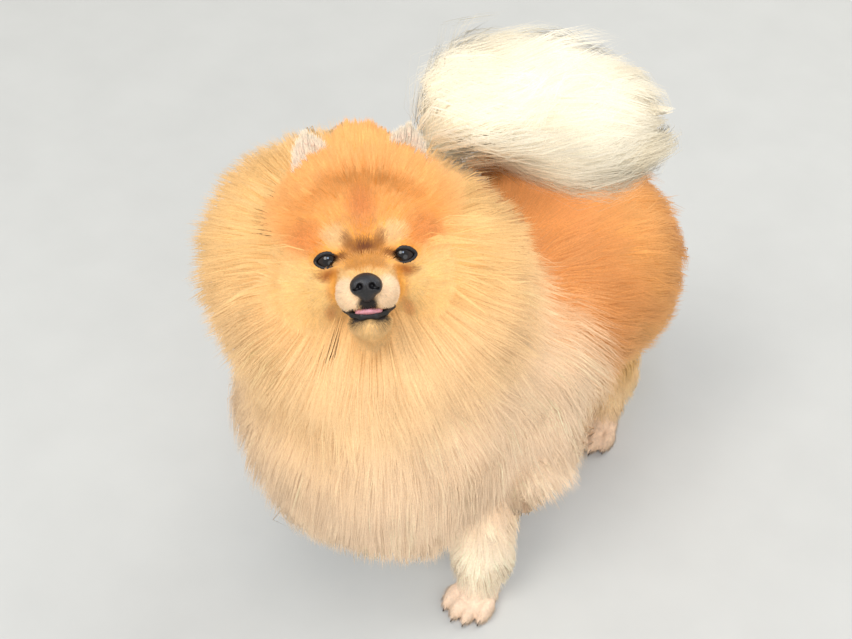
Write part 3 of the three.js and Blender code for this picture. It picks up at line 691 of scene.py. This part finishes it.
LOCK_TURN, WISP_TURN, OWN_TURN = 0.8, 0.5, 0.3

# A tuft of the undercoat: how many strands wide it is, and how deep it ends as a share of its length
UNDER_WIDTH, UNDER_DEPTH = 4.5, 0.09

# By the number of rings in a strand: each stretch's share of the way still left to the tips, and each
# ring's share of the strand's width; and how thick a strand is as a share of its width
RISE = {1: (1.0,), 2: (0.7, 1.0), 3: (0.45, 0.7, 1.0)}
RING_WIDTHS = {1: (1.0,), 2: (0.8, 1.0), 3: (0.7, 1.0, 0.72)}
THICK = 0.2

# The hair of the head: its length, at the nose and what is added further back, and how it varies
MUZZLE_LENGTH = 4.2
BEHIND_MUZZLE, BEHIND_LENGTH = (42, 46), 13
NAPE_START, NAPE_LENGTH = (76, 40), 24
LOCK_VARIES, OWN_VARIES, END_VARIES = 0.08, 0.1, 0.03
EAR_REACH, EAR_SHORTER, EAR_LOWER = (17, 14), 0.3, 8
MUZZLE_COAT, COAT_RISES = 1.2, (42, 36)


def head_coat(p):
    """The surface of the head's hair: close to the skin round the muzzle, and at the coat's tips behind."""
    far = past(from_face(to_head(p)), COAT_RISES)
    return (whole_skin(p) - MUZZLE_COAT) * (1 - far) + coat_tips(p) * far


def ear_nearness(h):
    """1 on the axis of an ear and 0 away from it."""
    both = np.c_[np.abs(h[:, 0]), h[:, 1:]]
    return short_of(taper((EAR_ROOT, 0), (EAR_TIP, 0))(both), EAR_REACH)


# The other parts: the form that the tips reach, the lie, a strand's length and how far it ends past the
# form, both with their change by lock and by strand
PLANS = {
    "mane": (coat_tips, body_lie, (60, 5, 5), (-1.5, 0.9, 1.4)),
    "bib": (coat_tips, body_lie, (60, 5, 5), (-1.5, 0.9, 1.4)),
    "back": (coat_tips, body_lie, (52, 5, 5), (-2, 1.2, 1.4)),
    "rump": (coat_tips, body_lie, (52, 5, 5), (-2, 1.2, 1.4)),
    "tail": (plume_tips, plume_lie, (80, 16, 8), (-3, 6, 2.5)),
    "leg": (leg_coat, leg_lie, (22, 2, 2), (0.5, 0.8, 0.6)),
    "paw": (paw_coat, paw_lie, (5.5, 0, 1), (0.8, 0, 0.35)),
}
TAIL_DEEPEST = -0.4


def varied(values, by_lock, own):
    middle, lock_change, own_change = values
    return middle + lock_change * by_lock + own_change * own


def head_plan(roots, by_lock, own):
    h = to_head(roots)
    far, ear = from_face(h), ear_nearness(h)
    long = MUZZLE_LENGTH + BEHIND_LENGTH * past(far, BEHIND_MUZZLE) + NAPE_LENGTH * past(far, NAPE_START)
    height = END_VARIES * long * (by_lock + own) - EAR_LOWER * ear
    long = long * varied((1, LOCK_VARIES, OWN_VARIES), by_lock, own) * (1 - EAR_SHORTER * ear)
    return head_coat, head_lie, long, height


def strand_plan(name, roots, by_lock, own):
    """Tips form, lie, length and end height over the tips of each strand, varied by lock and by strand."""
    if name in ("face", "crown"):
        return head_plan(roots, by_lock, own)
    tips, lie, lengths, ends = PLANS[name]
    long = varied(lengths, by_lock, own)
    if name == "tail":
        by_lock = np.maximum(by_lock, TAIL_DEEPEST)
    if name == "paw":
        own = np.abs(own)
    return tips, lie, long, varied(ends, by_lock, own)


def grow(roots, plan, steps, bend):
    """The path of each strand: it follows the lie of the coat and rises to the coat's surface."""
    tips, lie, long, height = plan
    p = roots - gradient(whole_skin, roots) * ROOT_DEPTH
    path = [p]
    for i in range(steps):
        out = gradient(tips, p)
        fall = unit(lie(p))
        flat_way = fall - out * np.einsum("ij,ij->i", fall, out)[:, None]
        turn = bend * (2 * (i + 0.5) / steps - 0.5)
        flat_way = flat_way * np.cos(turn)[:, None] + np.cross(out, flat_way) * np.sin(turn)[:, None]
        rise = (height - tips(p)) * RISE[steps][i]
        rise = np.clip(rise, -long / steps, long / steps)
        p = p + flat_way * (long / steps)[:, None] + out * rise[:, None]
        path.append(p)
    return np.stack(path, axis=1)


def nearest_of(roots, count):
    """For each root, the nearest of a number of roots chosen at random."""
    chosen = random.choice(len(roots), min(count, len(roots)), replace=False)
    tree = KDTree(len(chosen))
    for i, k in enumerate(chosen):
        tree.insert(Vector(roots[k]), i)
    tree.balance()
    return chosen[[tree.find(Vector(r))[1] for r in roots]]


def drawn_together(roots, path, guide, strength):
    """Strands drawn towards their guide, more so towards their tips."""
    along = np.linspace(0, 1, path.shape[1])
    aim = path[guide] + (roots - roots[guide])[:, None] * (1 - 0.5 * along)[None, :, None]
    return path + (aim - path) * (strength * along**CLUMP_CURVE)[None, :, None]


# How far a strand takes its light as the coat's surface does, and how a strand that stands up is turned
SOFTNESS = 0.85
TWIST = np.array([0.02, 0.006, 0])


def strands(path, widths, tips):
    """Closed three-sided strands that taper to a point, with their faces and the way each corner is lit."""
    count, rings = path.shape[0], path.shape[1] - 1
    way = np.diff(path, axis=1)
    way = unit(np.concatenate([way, way[:, -1:]], axis=1))
    blocks, lit = [], []
    for i in range(rings + 1):
        out = gradient(tips, path[:, i])
        across = unit(np.cross(way[:, i], out) + TWIST)
        face = np.cross(across, way[:, i])
        lying = np.einsum("ij,ij->i", out, face).clip(0, 1)[:, None]
        out = unit(out * lying + face * (1 - lying))
        if i == rings:
            blocks.append(path[:, i])
            lit.append(unit(out * SOFTNESS + face * (1 - SOFTNESS)))
            continue
        half = (widths * RING_WIDTHS[rings][i] / 2)[:, None]
        blocks += [path[:, i] + across * half, path[:, i] - across * half]
        blocks.append(path[:, i] + face * half * 2 * THICK)
        for own in (across, -across, face):
            lit.append(unit(out * SOFTNESS + own * (1 - SOFTNESS)))
    corners, lit = np.stack(blocks, axis=1), np.stack(lit, axis=1)
    faces = [(0, 2, 1)]
    for i in range(rings - 1):
        for k in range(3):
            a, b = 3 * i + k, 3 * i + (k + 1) % 3
            faces += [(a, b, b + 3), (a, b + 3, a + 3)]
    last = 3 * (rings - 1)
    faces += [(last + k, last + (k + 1) % 3, 3 * rings) for k in range(3)]
    faces = np.array(faces)
    whole = faces[None] + (np.arange(count) * corners.shape[1])[:, None, None]
    return corners, faces, whole.reshape(-1, 3), lit


# Strands are deeper in colour at the root: partly the hair's own tone, partly painted shade deep in the
# coat. Their tips are paler.
ROOT_TONE_AND_SHADE = np.array([1.0, 0.92, 0.8])
TIP_LIGHT = np.array([1.0, 0.96, 0.88])
TIP_PALE, PALE_FROM = 0.12, 1.25
OWN_TONE, WISP_TONE, LOCK_TONE = 0.04, 0.04, 0.03


def fur_colours(places, lock, wisp, along):
    """The markings at each place, deeper at the root (own tone and painted shade), paler at the tip, varied
    by strand and clump.
    """
    base = markings(places)
    tone = 1 + OWN_TONE * random.normal(0, 1, len(places))
    for group, amount in ((wisp, WISP_TONE), (lock, LOCK_TONE)):
        tone = tone * (1 + amount * random.normal(0, 1, len(places)))[group]
    # The root's colour: the hair's own deeper tone together with painted shade deep in the coat
    deep = base[:, None] * ROOT_TONE_AND_SHADE
    brightness = (TIP_PALE * base.max(axis=1) ** 2)[:, None, None]
    pale = base[:, None] * (1 - TIP_PALE) + TIP_LIGHT * brightness
    mix = np.clip(along * PALE_FROM, 0, 1)[None, :, None]
    return np.clip((deep + (pale - deep) * mix) * tone[:, None, None], 0, 1)


# Half the width of the small patch of the unwrap that each strand has round its root
PATCH = 0.0015


def make_coat(name):
    count, rings, width, wisps, locks, clump, curl, under_share = COATS[name]
    count = count // THIN
    roots, uvs = scatter(count, weights[name])
    wisp, lock = nearest_of(roots, wisps // THIN), nearest_of(roots, locks)
    by_lock, own, turn = random.normal(0, 1, (3, count))
    tips, lie, long, height = strand_plan(name, roots, by_lock[lock], own)
    under = random.random(count) < under_share
    height = height - np.where(under, UNDER_DEPTH * long, 0)
    bend = (turn[lock] * LOCK_TURN + turn[wisp] * WISP_TURN + own * OWN_TURN) * curl
    path = grow(roots, (tips, lie, long, height), rings, bend)
    path = drawn_together(roots, path, wisp, WISP_CLUMP)
    path = drawn_together(roots, path, lock, clump)
    path[..., 2] = np.maximum(path[..., 2], FLOOR_GAP)
    widths = width * (LEAST_WIDTH + WIDTH_SPAN * random.random(count)) * WIDER
    widths = widths * np.where(under, UNDER_WIDTH, 1)
    corners, one, faces, lit = strands(path, widths, tips)
    along = np.append(np.repeat(np.arange(rings) / rings, 3), 1.0)
    places = path[:, 1] if name in ("mane", "bib") else roots
    colours = fur_colours(places, lock, wisp, along)
    across = np.append(np.tile([-1.0, 1.0, 0.0], rings), 0.0)
    corner_uv = uvs[:, None] + PATCH * np.stack([across, along * 2 - 1], axis=-1)[None]
    loops = corner_uv[:, one.ravel()].reshape(-1, 2)
    return make_mesh(
        f"coat_{name}", corners.reshape(-1, 3), faces, colours.reshape(-1, 3), loops, lit.reshape(-1, 3)
    )


# Materials
def material(name, roughness, **constants):
    made = bpy.data.materials.new(name)
    made.use_nodes = True
    shader = made.node_tree.nodes["Principled BSDF"]
    shader.inputs["Roughness"].default_value = roughness
    for socket, value in constants.items():
        shader.inputs[socket.replace("_", " ")].default_value = value
    return made, made.node_tree, shader


def node(tree, kind, **inputs):
    made = tree.nodes.new(kind)
    for socket, value in inputs.items():
        made.inputs[socket.replace("_", " ")].default_value = value
    return made


def noise(tree, scale, detail=3.0):
    made = node(tree, "ShaderNodeTexNoise", Scale=scale, Detail=detail)
    where = tree.nodes.new("ShaderNodeTexCoord").outputs["Object"]
    tree.links.new(where, made.inputs["Vector"])
    return made.outputs["Fac"]


# The stretch of the noise's values that is spread over a shade
NOISE_LOW, NOISE_HIGH = 0.3, 0.7


def shade(tree, colour, amount, low, high):
    """The colour made darker or lighter by an amount that runs from 0 to 1."""
    span = tree.nodes.new("ShaderNodeMapRange")
    span.inputs["From Min"].default_value = NOISE_LOW
    span.inputs["From Max"].default_value = NOISE_HIGH
    span.inputs["To Min"].default_value = low
    span.inputs["To Max"].default_value = high
    tree.links.new(amount, span.inputs["Value"])
    scaled = tree.nodes.new("ShaderNodeVectorMath")
    scaled.operation = "SCALE"
    tree.links.new(colour, scaled.inputs[0])
    tree.links.new(span.outputs["Result"], scaled.inputs["Scale"])
    return scaled.outputs["Vector"]


def bump(tree, shader, height, strength, distance):
    made = node(tree, "ShaderNodeBump", Strength=strength, Distance=distance)
    tree.links.new(height, made.inputs["Height"])
    tree.links.new(made.outputs["Normal"], shader.inputs["Normal"])


def own_colour(tree):
    """The colours that a piece's mesh carries."""
    own = tree.nodes.new("ShaderNodeVertexColor")
    own.layer_name = "Coat"
    return own.outputs["Color"]


def coat_material(name, roughness, fine, patches=28.0):
    """Hair: the strand's own colour, with streaks and soft patches."""
    made, tree, shader = material(
        name, roughness, Sheen_Weight=0.05, Sheen_Roughness=0.4, Specular_IOR_Level=0.2
    )
    colour = shade(tree, own_colour(tree), noise(tree, fine), low=0.88, high=1.12)
    colour = shade(tree, colour, noise(tree, patches, detail=2.0), low=0.92, high=1.08)
    tree.links.new(colour, shader.inputs["Base Color"])
    bump(tree, shader, noise(tree, fine * 2), strength=0.25, distance=0.0004)
    return made


def tinted_material(name, colour, roughness, scale, depth, low=0.85, high=1.15, **constants):
    """A tint with broad mottling and a fine grain of the given scale and depth."""
    made, tree, shader = material(name, roughness, **constants)
    tint = tree.nodes.new("ShaderNodeRGB")
    tint.outputs[0].default_value = (*colour, 1)
    mottled = shade(tree, tint.outputs[0], noise(tree, scale * 0.3), low, high)
    tree.links.new(mottled, shader.inputs["Base Color"])
    bump(tree, shader, noise(tree, scale), strength=0.6, distance=depth)
    return made


HAIR = coat_material("coat_hair", 0.55, 900.0)
SKIN = coat_material("skin_under_coat", 0.8, 500.0)
LIPS = tinted_material("lip_skin", seen(20, 16, 16), 0.5, 900.0, 0.0003)
LEATHER = tinted_material("nose_leather", seen(26, 24, 26), 0.36, 1500.0, 0.0005, 0.75, 1.3)
TONGUE = tinted_material("tongue_flesh", seen(222, 140, 148), 0.35, 1600.0, 0.0004, Subsurface_Weight=0.2)
HORN = tinted_material("claw_horn", seen(70, 56, 48), 0.35, 700.0, 0.0002, 0.7, 1.3)
PINNA = tinted_material(
    "ear_skin", seen(244, 206, 184), 0.6, 600.0, 0.0003, 0.9, 1.1, Subsurface_Weight=0.3
)


def eye_material():
    """A dark brown iris round a black pupil, under a clear wet surface."""
    made, tree, shader = material(
        "eye_gloss", 0.3, Coat_Weight=1.0, Coat_Roughness=0.02, Specular_IOR_Level=0.0
    )
    colour = shade(tree, own_colour(tree), noise(tree, 900.0), low=0.7, high=1.4)
    tree.links.new(colour, shader.inputs["Base Color"])
    return made


EYE = eye_material()

finish_piece(skin, SKIN, FLESH)
# Light passes through loose hair, so the coats cast no shadow
for name in COATS:
    coat = make_coat(name)
    coat.visible_shadow = False
    finish_piece(coat, HAIR)


# Face pieces, from forms in the head's frame
def face_piece(name, form, low, high, step, finish, nodes=(), colour=None):
    """A piece of the face, meshed within a box from low to high in cells of one step."""
    axes = [np.linspace(a, b, int((b - a) / step) + 2) for a, b in zip(low, high)]
    corners, faces = surface(form, axes)
    corners = settle(form, corners)
    tones = None if colour is None else colour(corners)
    piece = make_mesh(name, from_head(corners), faces, tones)
    finish_piece(piece, finish, nodes)


# The nose, from its middle: its lower part, its left wing, nostril and slit, and the groove below
NOSE_FOOT = ((0, 2, -5), (4, 5, 4.5))
WING = ((5.6, -2.2, -0.6), (3.4, 4.2, 4.2))
NOSTRIL = ((3.5, -7.0, -0.6), (1.7, 3.6, 1.9))
SLIT = (((4.2, -6.4, -1.4), 0.9), ((6.6, -5.0, -2.2), 0.6), ((8.6, -2.0, -1.6), 0.35))
GROOVE = (((0, -7.6, -1.5), 0.35), ((0, -6.4, -6.5), 0.6))


def on_nose(place, sign=1):
    return NOSE_AT + np.array([sign, 1, 1]) * place


def nose_form():
    body = blend(3, ellipsoid(NOSE_AT, NOSE_SIZE), ellipsoid(on_nose(NOSE_FOOT[0]), NOSE_FOOT[1]))
    for sign in (-1, 1):
        body = blend(2, body, ellipsoid(on_nose(WING[0], sign), WING[1]))
    for sign in (-1, 1):
        hole = ellipsoid(on_nose(NOSTRIL[0], sign), NOSTRIL[1])
        slit = chain(1, [(on_nose(place, sign), radius) for place, radius in SLIT])
        body = without(0.8, without(0.8, body, hole), slit)
    return without(0.7, body, chain(1, [(on_nose(place), radius) for place, radius in GROOVE]))


face_piece(
    "nose_leather", nose_form(), NOSE_AT - (12, 11, 13), NOSE_AT + (12, 11, 11), 0.45,
    LEATHER, ("nose",),
)

# The eye: its ball in its socket, and round its foremost point the cornea and the ends of pupil and iris
BALL_INSET, BALL_MARGIN = 0.1, 1.2
CORNEA_BACK, CORNEA_RADII = 4.4, (5.2, 5.0, 5.2)
PUPIL_END, IRIS_END = (2.9, 0.8), (5.8, 1.6)
PUPIL_TONE, IRIS_TONE = seen(14, 10, 10), seen(34, 22, 15)

# The rim round the lids: how far out it lies from their opening and from the ball, and its thickness,
# which is more along the upper lid
RIM_WIDER, RIM_HIGHER, RIM_OUT = 0.5, 0.3, 0.5
RIM_ALMOND = 0.3
RIM_THICK, UPPER_LID_MORE = 0.8, 0.3
RIM_POINTS = 25


def iris_tones(sign):
    def tones(corners):
        out = length(corners - (eye_centre(sign) - np.array([0, EYE_RADIUS, 0])))
        colour = np.tile(PUPIL_TONE, (len(corners), 1))
        iris = past(out, PUPIL_END) * short_of(out, IRIS_END)
        return colour + (IRIS_TONE - colour) * iris[:, None]

    return tones


def rim_form(sign):
    """A cord that follows the almond opening over the eyeball."""
    points = []
    for turn in np.linspace(0, 2 * math.pi, RIM_POINTS):
        narrow = 1 - RIM_ALMOND * abs(math.cos(turn)) ** 3
        x = math.cos(turn) * (LID_WIDE + RIM_WIDER)
        z = math.sin(turn) * (LID_HIGH + RIM_HIGHER) * narrow
        y = -math.sqrt((EYE_RADIUS + RIM_OUT) ** 2 - x * x - z * z)
        thick = RIM_THICK + UPPER_LID_MORE * max(math.sin(turn), 0)
        points.append((eye_centre(sign) + np.array([x, y, z]), thick))
    return chain(0.8, points)


for sign, half in ((-1, "right"), (1, "left")):
    middle = eye_centre(sign)
    cornea = ellipsoid(middle + np.array([0, -EYE_RADIUS + CORNEA_BACK, 0]), CORNEA_RADII)
    ball = blend(1.5, eye_ball(sign, EYE_RADIUS - BALL_INSET), cornea)
    reach = np.array([EYE_RADIUS + BALL_MARGIN] * 3)
    face_piece(
        f"eyeball_{half}", ball, middle - reach, middle + reach, 0.6,
        EYE, (f"eye_{half}",), iris_tones(sign),
    )
    face_piece(
        f"eye_rim_{half}", rim_form(sign), middle - (10, 13, 8), middle + (10, 3, 8), 0.4,
        LIPS,
    )

TONGUE_BACK = ((0, -9, -31.0), (8.8, 12, 1.9))
TONGUE_FRONT = ((0, -18, -31.2), (7.6, 6, 1.7))
TONGUE_CREASE = (((0, -26, -28.6), 0.5), ((0, -2, -28.6), 0.5))
tongue = blend(3, ellipsoid(*TONGUE_BACK), ellipsoid(*TONGUE_FRONT))
tongue_form = without(0.8, tongue, chain(1, TONGUE_CREASE))
face_piece("tongue_tip", tongue_form, (-11, -27, -36), (11, 6, -26), 0.5, TONGUE, ("tongue",))

# The left half of each lip from the corner of the mouth inwards, with its radius there
LOWER_LIP = [((14.5, -8, -29.6), 1.0), ((9.5, -15, -32.4), 1.7), ((4, -19.3, -33.8), 2.1)]
UPPER_LIP = [((14.8, -8, -28.8), 0.7), ((9, -18, -29.2), 0.8), ((2, -23.4, -27.0), 0.7)]
UPPER_LIP_MIDDLE = [((0, -23.6, -24.5), 0.8)]


def lip(half, middle=()):
    mirrored = [((-x, y, z), radius) for (x, y, z), radius in half]
    return chain(1.5, [*mirrored, *middle, *half[::-1]])


lips_form = blend(0.6, lip(LOWER_LIP), lip(UPPER_LIP, UPPER_LIP_MIDDLE))
face_piece("lips", lips_form, (-18, -29, -39), (18, -4, -22), 0.5, LIPS)


# Ears
def ear_frame(sign):
    """An ear's root, and its axes: across, backwards and up towards its tip."""
    mirror = np.array([sign, 1, 1])
    root = EAR_ROOT * mirror
    up = unit(EAR_TIP * mirror - root)
    back = unit(np.cross(up, np.array([sign, 0.25, 0])))
    back = -back if back[1] < 0 else back
    return root, np.stack([np.cross(back, up), back, up], axis=1)


EAR_HAIRS = 6000
EAR_FACING = HEAD_TURN @ np.array([0, 0.5, 0])
HAIR_LENGTH, LENGTH_VARIES = 6, 3
HAIR_WIDTH, WIDTH_VARIES = 0.5, 0.2
HAIR_SPREAD, HAIR_PARTING, HAIR_TONE = 0.5, 0.2, 0.05
UNWRAP_EDGE = 0.02


def ear_hair(corners, half):
    """Short pale hair all over an ear. It leans outwards, forwards and up."""
    corners = from_head(corners)
    pick = random.choice(len(corners), EAR_HAIRS)
    roots = corners[pick] + random.normal(0, HAIR_SPREAD, (EAR_HAIRS, 3))
    middle = corners.mean(axis=0)
    up = from_head((0, 0, 1)) - from_head((0, 0, 0))
    away = unit(roots - middle)
    way = unit(away * 0.5 + up - EAR_FACING + random.normal(0, HAIR_PARTING, (EAR_HAIRS, 3)))
    long = (HAIR_LENGTH + LENGTH_VARIES * random.random(EAR_HAIRS))[:, None]
    path = np.stack([roots, roots + way * long], axis=1)
    widths = HAIR_WIDTH + WIDTH_VARIES * random.random(EAR_HAIRS)
    corners, one, faces, lit = strands(path, widths, lambda p: np.abs((p - middle) @ EAR_FACING))
    along = np.array([0, 0, 0, 1.0])
    tone = (BLUSH + (MILK - BLUSH) * along[:, None])[None]
    tone = tone * (1 + HAIR_TONE * random.normal(0, 1, (EAR_HAIRS, 1, 1)))
    place = UNWRAP_EDGE + (1 - 2 * UNWRAP_EDGE) * random.random((EAR_HAIRS, 1, 2))
    across = np.array([-1.0, 1.0, 0.0, 0.0])
    uvs = place + PATCH * np.stack([across, along * 2 - 1], axis=-1)[None]
    piece = make_mesh(
        f"coat_ear_{half}", corners.reshape(-1, 3), faces, np.clip(tone, 0, 1).reshape(-1, 3),
        uvs[:, one.ravel()].reshape(-1, 2), lit.reshape(-1, 3),
    )
    finish_piece(piece, HAIR)


# An ear's grid, how far its foot reaches into the head, and the curve of its outline and of its cup
EAR_ROWS, EAR_COLUMNS = 24, 20
EAR_FOOT = -0.25
EAR_POINTED, EAR_FULL = 1.9, 0.62
CUP_FLATTER = 0.7
WELD_DISTANCE = 0.00001


def make_ear(sign, half):
    """A cupped leaf of two layers that meet along its rim."""
    tall = length(EAR_TIP - EAR_ROOT)
    s = np.linspace(EAR_FOOT, 1, EAR_ROWS)[:, None] * np.ones(EAR_COLUMNS)
    t = np.linspace(-1, 1, EAR_COLUMNS)[None] * np.ones((EAR_ROWS, 1))
    width = np.cos(math.pi / 2 * np.clip(s, 0, 1) ** EAR_POINTED) ** EAR_FULL * EAR_WIDE / 2
    cup = EAR_CUP * (1 - s * CUP_FLATTER) * (1 - t * t)
    layers = []
    for depth in (-0.5, 0.5):
        fold = cup + depth * EAR_THICK * (1 - t**4) * (1 - np.clip(s, 0, 1) ** 4)
        layers.append(np.stack([t * width, fold, s * tall], axis=-1))
    root, axes = ear_frame(sign)
    corners = np.concatenate([layer.reshape(-1, 3) for layer in layers]) @ axes.T + root
    index = np.arange(EAR_ROWS * EAR_COLUMNS).reshape(EAR_ROWS, EAR_COLUMNS)
    cell = [index[:-1, :-1], index[:-1, 1:], index[1:, 1:], index[1:, :-1]]
    front = np.stack(cell, axis=-1).reshape(-1, 4)
    faces = np.concatenate([front, front[:, ::-1] + EAR_ROWS * EAR_COLUMNS])
    piece = make_mesh(f"pinna_{half}", from_head(corners), faces)
    weld = piece.modifiers.new("weld", "WELD")
    weld.merge_threshold = WELD_DISTANCE
    finish_piece(piece, PINNA, (f"ear_{half}",))
    ear_hair(corners, half)


for sign, half in ((-1, "right"), (1, "left")):
    make_ear(sign, half)


# Claws
CLAW_BOX, CLAW_STEP = ((-17, 17), (-28, -8), (0.5, 8)), 0.5


def make_claws(name):
    paw, toes_out, _ = LEGS[name]
    turn = np.array(Matrix.Rotation(math.radians(toes_out), 3, "Z"))
    forms = []
    for k in TOES:
        at = np.array([k * TOE_SPREAD * CLAW_SPREAD, CLAW_FRONT + TOE_ARCH * k * k, 0])
        forms.append(chain(1, [(at + place, radius) for place, radius in CLAW]))
    whole = blend(0.3, *forms)
    axes = [np.arange(low, high, CLAW_STEP) for low, high in CLAW_BOX]
    corners, faces = surface(whole, axes)
    piece = make_mesh(f"claws_{name}", corners @ turn.T + np.array([*paw, 0.0]), faces)
    finish_piece(piece, HORN)


for name in LEGS:
    make_claws(name)

# Studio: a pale floor, a camera above and ahead of the dog, and four soft lights in an even glow
FLOOR_REACH = 6.0
floor = bpy.data.meshes.new("studio_floor")
floor_corners = [(x * FLOOR_REACH, y * FLOOR_REACH, 0) for x, y in ((-1, -1), (1, -1), (1, 1), (-1, 1))]
floor.from_pydata(floor_corners, [], [(0, 1, 2, 3)])
floor_piece = bpy.data.objects.new("studio_floor", floor)
bpy.context.scene.collection.objects.link(floor_piece)
floor.materials.append(tinted_material("studio_paper", seen(196, 196, 192), 0.9, 60.0, 0.0002, 0.98, 1.02))

CAMERA_AIM = np.array([-41.4, -25.0, 151.7])
CAMERA_AZIMUTH, CAMERA_ELEVATION = math.radians(33), math.radians(42)
CAMERA_DISTANCE = 1180
CAMERA_LENS, SENSOR = 76.06, 36
back = np.array([
    math.sin(CAMERA_AZIMUTH) * math.cos(CAMERA_ELEVATION),
    -math.cos(CAMERA_AZIMUTH) * math.cos(CAMERA_ELEVATION),
    math.sin(CAMERA_ELEVATION),
])
bpy.context.scene.view_settings.view_transform = "Standard"
camera = bpy.data.objects.new("camera", bpy.data.cameras.new("camera"))
camera.data.lens = CAMERA_LENS
camera.data.sensor_width = SENSOR
camera.location = to_frame(CAMERA_AIM + back * CAMERA_DISTANCE)
camera.rotation_euler = Vector(-back).to_track_quat("-Z", "Y").to_euler()
bpy.context.scene.collection.objects.link(camera)
bpy.context.scene.camera = camera

# Each soft light: its place, width and power, and its colour
LIGHTS = {
    "key": ((-0.5, -1.1, 2.1), 1.1, 21, (1.0, 0.98, 0.94)),
    "fill": ((1.7, -1.2, 1.0), 1.8, 12, (1.0, 0.99, 0.97)),
    "sky": ((0.27, -0.5, 1.8), 0.5, 8, (0.62, 0.76, 1.0)),
    "rim": ((0.6, 1.6, 1.7), 1.3, 16, (1.0, 0.99, 0.96)),
}
LIGHTS_AIM = Vector((0, -0.02, 0.16))
GLOW_COLOUR, GLOW_STRENGTH = (1.0, 0.99, 0.97, 1), 0.72


def softbox(name, at, size, power, colour):
    light = bpy.data.lights.new(name, "AREA")
    light.shape = "DISK"
    light.size = size
    light.energy = power
    light.color = colour
    lamp = bpy.data.objects.new(name, light)
    lamp.location = at
    lamp.rotation_euler = (LIGHTS_AIM - Vector(at)).to_track_quat("-Z", "Y").to_euler()
    bpy.context.scene.collection.objects.link(lamp)


for name, values in LIGHTS.items():
    softbox(name, *values)
world = bpy.data.worlds.new("studio_air")
world.use_nodes = True
glow = world.node_tree.nodes["Background"]
glow.inputs["Color"].default_value = GLOW_COLOUR
glow.inputs["Strength"].default_value = GLOW_STRENGTH
bpy.context.scene.world = world
